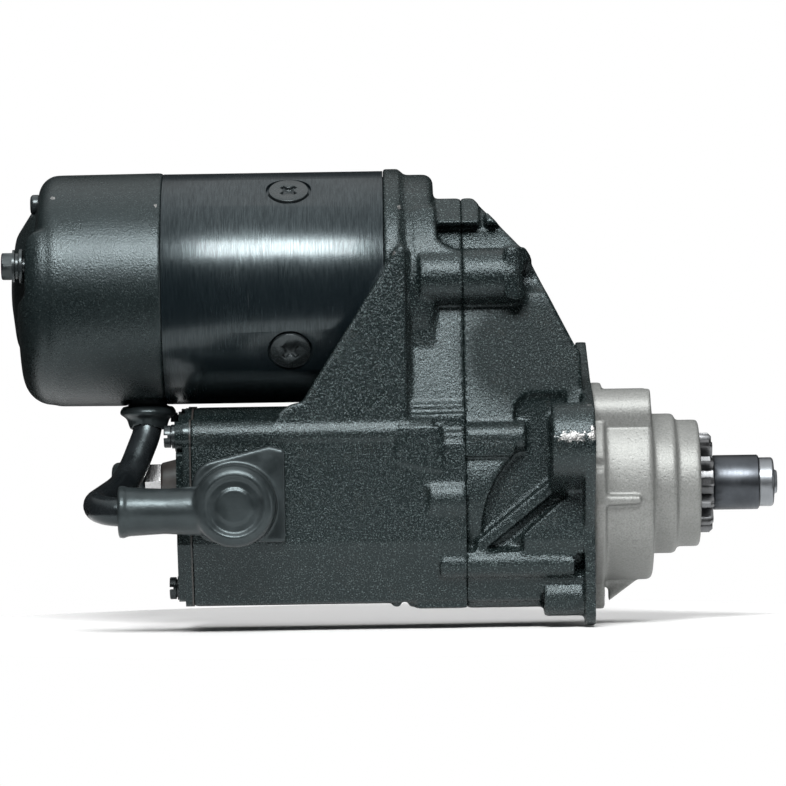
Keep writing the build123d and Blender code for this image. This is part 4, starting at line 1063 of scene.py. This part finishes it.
@dataclass
class OutputDrive:
    """The pinion that comes out of the nose, its shaft and its collar."""

    frame: Frame
    teeth: int = 13
    tip_radius: float = 19.0 * MM
    root_radius: float = 13.4 * MM
    bore_radius: float = 8.85 * MM
    chamfer: float = 1.3 * MM
    phase: float = math.radians(12.0)

    def outline(self, shrink: float) -> list[tuple[float, float]]:
        """(radius, angle) points of one tooth and half of each gap beside it.

        Args:
            shrink: How far the tooth's tip and flanks are cut back.

        Returns:
            Points from one gap's middle to the next one's.
        """
        pitch = math.tau / self.teeth
        tip = self.tip_radius - shrink
        flank = [(self.root_radius, 0.315), (self.root_radius + 0.8 * MM, 0.285), (15.4 * MM, 0.262),
                 (16.6 * MM, 0.226), (17.7 * MM, 0.178), (18.5 * MM, 0.132), (tip, 0.095)]
        half = [(min(r, tip), a * pitch - shrink * 0.25 / r) for r, a in flank]
        left = [(self.root_radius, -0.5 * pitch)] + [(r, -a) for r, a in half]
        return left + [(r, a) for r, a in reversed(half)] + [(self.root_radius, 0.5 * pitch)]

    def tooth(self, x0: float, x1: float) -> bpy.types.Object:
        """One tooth with its share of the hub, with chamfered ends.

        Args:
            x0: Where its back end is.
            x1: Where its front end is.

        Returns:
            The tooth.
        """
        work = bmesh.new()
        rings = []
        for x, shrink in ((x0, 0.6 * MM), (x0 + 0.6 * MM, 0.0), (x1 - self.chamfer, 0.0), (x1, 1.2 * MM)):
            outline = self.outline(shrink)
            rings.append([work.verts.new((x, r * math.cos(a), r * math.sin(a))) for r, a in outline])
        bridge(work, rings, closed=False)
        half_pitch = math.pi / self.teeth
        bores = []
        for x, ring in ((x0, rings[0]), (x1, rings[-1])):
            angles = [math.atan2(v.co.z, v.co.y) for v in ring]
            angles[0], angles[-1] = -half_pitch, half_pitch
            bore = [work.verts.new((x, self.bore_radius * math.cos(a), self.bore_radius * math.sin(a)))
                    for a in angles]
            bridge(work, (ring, bore), closed=False)
            bores.append(bore)
        bridge(work, bores, closed=False)
        bmesh.ops.rotate(work, verts=work.verts, matrix=Matrix.Rotation(self.phase, 3, "X"))
        return drawn(work, "output_pinion")

    def build(self) -> None:
        """Builds the output pieces."""
        frame = self.frame
        low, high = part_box("pinion")
        pinion = self.tooth(low.x, high.x)
        steel = TurnedMetal("pinion_steel", (0.17, 0.175, 0.18), (0.26, 0.45), 0.6)
        RoundArray().apply(pinion, self.teeth, Vector(), frame.material(steel), 2e-6)
        work = bmesh.new()
        work.from_mesh(pinion.data)
        bmesh.ops.recalc_face_normals(work, faces=work.faces)
        work.to_mesh(pinion.data)
        work.free()
        shade(pinion, 32)
        frame.stand_in(pinion, "pinion", "pinion", "gear_steel")
        collar = softened(frame.nodes["stop_collar"], "front_collar", 0.0003)
        dress(collar, frame.material(TurnedMetal("collar_steel", (0.080, 0.088, 0.098), (0.3, 0.45), 0.5)))
        frame.stand_in(collar, "stop_collar", "shaft", "gear_steel")
        frame.keep(TurnedMetal("shaft_steel", (0.24, 0.255, 0.27), (0.30, 0.46), 0.3), "pinion_shaft")


@dataclass
class InnerWorks:
    """Everything inside, which shows only when a casing is taken off."""

    frame: Frame

    def build(self) -> None:
        """Gives the inner nodes their finishes."""
        keep = self.frame.keep
        keep(GEAR_STEEL, "armature_shaft", "idler_gear", "clutch_gear", "idler_pin", "drive_tube")
        keep(BRIGHT_STEEL, "bearing_outer_rings", "bearing_balls", "armature_bearing_cores",
             "clutch_bearing_core", "nose_bearing_core", "idler_rollers", "clutch_rollers", "steel_ball",
             "terminal_nuts", "snap_ring")
        keep(BARE_STEEL, "pole_shoes", "armature_core", "solenoid_core", "plunger", "clutch_cover",
             "brush_springs", "clutch_springs", "pinion_spring", "return_spring", "plunger_spring")
        keep(TurnedMetal("bare_copper", Metal.COPPER.value, (0.2, 0.38), 0.5), "commutator", "contact_plate",
             "fixed_contacts", "terminal_studs", "lead_lug", "signal_terminal")
        keep(TurnedMetal("enamelled_copper", (0.42, 0.17, 0.08), (0.3, 0.45), 0.4), "field_coils",
             "armature_windings", "solenoid_coils")
        keep(Moulded("pressed_carbon", (0.05, 0.05, 0.05), (0.5, 0.65)), "brushes")
        keep(Moulded("insulation", (0.03, 0.026, 0.024), (0.35, 0.5)), "brush_holder", "solenoid_bobbin",
             "terminal_bushes", "solenoid_gasket")
        keep(SOFT_RUBBER, "yoke_seal")


@dataclass
class Studio:
    """Pale floor, soft light and the camera."""

    distance: float = 1.905
    width: float = 0.2995
    roll: float = math.radians(0.9)
    aim: Vector = field(default_factory=lambda: Vector((-0.0747, 0.0, 0.0360)))
    sensor: float = 36.0
    target: Vector = field(default_factory=lambda: Vector((-0.075, 0.0, 0.04)))
    floor_radius: float = 0.21

    def floor(self, height: float) -> None:
        """A round pale floor under the object.

        Args:
            height: Where its top is.
        """
        work = bmesh.new()
        bmesh.ops.create_circle(work, cap_ends=True, radius=self.floor_radius, segments=96)
        mesh = bpy.data.meshes.new("floor")
        work.to_mesh(mesh)
        work.free()
        mesh.transform(Matrix.Translation((self.aim.x, 0, height)))
        floor = into_scene("floor", mesh)
        graph = Graph("pale_floor")
        tone = graph.mix(graph.noise(0.4, 3.0), (0.90, 0.90, 0.90), (0.94, 0.94, 0.94))
        graph.feed(graph.shader.inputs["Base Color"], tone)
        graph.shader.inputs["Roughness"].default_value = 0.9
        dress(floor, graph.material)
        floor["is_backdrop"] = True

    def light(self, name: str, place: Vector, size: tuple[float, float], watts: float,
              mirrored: bool = True) -> None:
        """A soft rectangular lamp that faces the object.

        Args:
            name: Its name.
            place: Where it stands.
            size: Its width and height in metres.
            watts: Its power.
            mirrored: Whether glossy surfaces reflect its shape.
        """
        lamp = bpy.data.lights.new(name, "AREA")
        lamp.shape = "RECTANGLE"
        lamp.size, lamp.size_y = size
        lamp.energy = watts
        stand = bpy.data.objects.new(name, lamp)
        stand.location = place
        stand.rotation_euler = (self.target - place).to_track_quat("-Z", "Y").to_euler()
        stand.visible_glossy = mirrored
        bpy.context.scene.collection.objects.link(stand)

    def world(self, seen: float, lit: float, overhead: float) -> None:
        """White surroundings to look at, which light the object softly and mirror darkly.

        Args:
            seen: How bright the background looks.
            lit: How bright it is as a light on the object.
            overhead: How bright its top is in a reflection.
        """
        world = bpy.data.worlds.new("surroundings")
        world.use_nodes = True
        tree = world.node_tree
        background = tree.nodes["Background"]
        background.inputs["Color"].default_value = (1, 1, 1, 1)
        path = tree.nodes.new("ShaderNodeLightPath")
        place = tree.nodes.new("ShaderNodeTexCoord")
        parts = tree.nodes.new("ShaderNodeSeparateXYZ")
        tree.links.new(place.outputs["Generated"], parts.inputs["Vector"])
        sky = tree.nodes.new("ShaderNodeMapRange")
        sky.inputs["From Min"].default_value = 0.55
        sky.inputs["To Min"].default_value = 0.03
        sky.inputs["To Max"].default_value = overhead
        tree.links.new(parts.outputs["Z"], sky.inputs["Value"])
        mirrored = tree.nodes.new("ShaderNodeMapRange")
        mirrored.inputs["To Min"].default_value = lit
        tree.links.new(path.outputs["Is Glossy Ray"], mirrored.inputs["Value"])
        tree.links.new(sky.outputs["Result"], mirrored.inputs["To Max"])
        level = tree.nodes.new("ShaderNodeMapRange")
        level.inputs["To Max"].default_value = seen
        tree.links.new(path.outputs["Is Camera Ray"], level.inputs["Value"])
        tree.links.new(mirrored.outputs["Result"], level.inputs["To Min"])
        tree.links.new(level.outputs["Result"], background.inputs["Strength"])
        bpy.context.scene.world = world

    def camera(self) -> None:
        """A long lens, level, looking along +Y with a slight roll."""
        lens = bpy.data.cameras.new("camera")
        lens.sensor_width = self.sensor
        lens.lens = self.sensor * self.distance / self.width
        lens.clip_end = 50
        stand = bpy.data.objects.new("camera", lens)
        turn = Matrix.Rotation(self.roll, 4, "Y") @ Matrix.Rotation(math.radians(90), 4, "X")
        stand.matrix_world = Matrix.Translation(self.aim - Vector((0, self.distance, 0))) @ turn
        bpy.context.scene.collection.objects.link(stand)
        bpy.context.scene.camera = stand

    def build(self, low: Vector) -> None:
        """Builds the studio round the object's box.

        Args:
            low: Lowest corner of the box.
        """
        self.floor(low.z - 0.5 * MM)
        self.light("front_softbox", Vector((-0.12, -1.47, 1.27)), (1.1, 0.52), 60.0)
        self.light("top_softbox", Vector((-0.05, 0.6, 1.4)), (2.2, 1.2), 20.0, False)
        self.light("right_strip", Vector((1.6, -0.5, 0.2)), (0.25, 1.0), 3.0)
        self.world(1.0, 0.12, 1.3)
        self.camera()
        bpy.context.scene.view_settings.view_transform = "Standard"


def main() -> None:
    """Builds the whole scene in order."""
    logging.basicConfig(level=logging.INFO, format="%(name)s: %(message)s")
    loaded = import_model()
    cad_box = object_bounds()
    frame = Frame(loaded["nodes"])
    assemblies = (MotorShell(frame), GearCase(frame), SwitchEnd(frame), OutputDrive(frame), InnerWorks(frame))
    for assembly in assemblies:
        assembly.build()
        LOG.info("%s built", type(assembly).__name__)
    Studio().build(Vector(cad_box[0]))


if __name__ == "__main__":
    main()
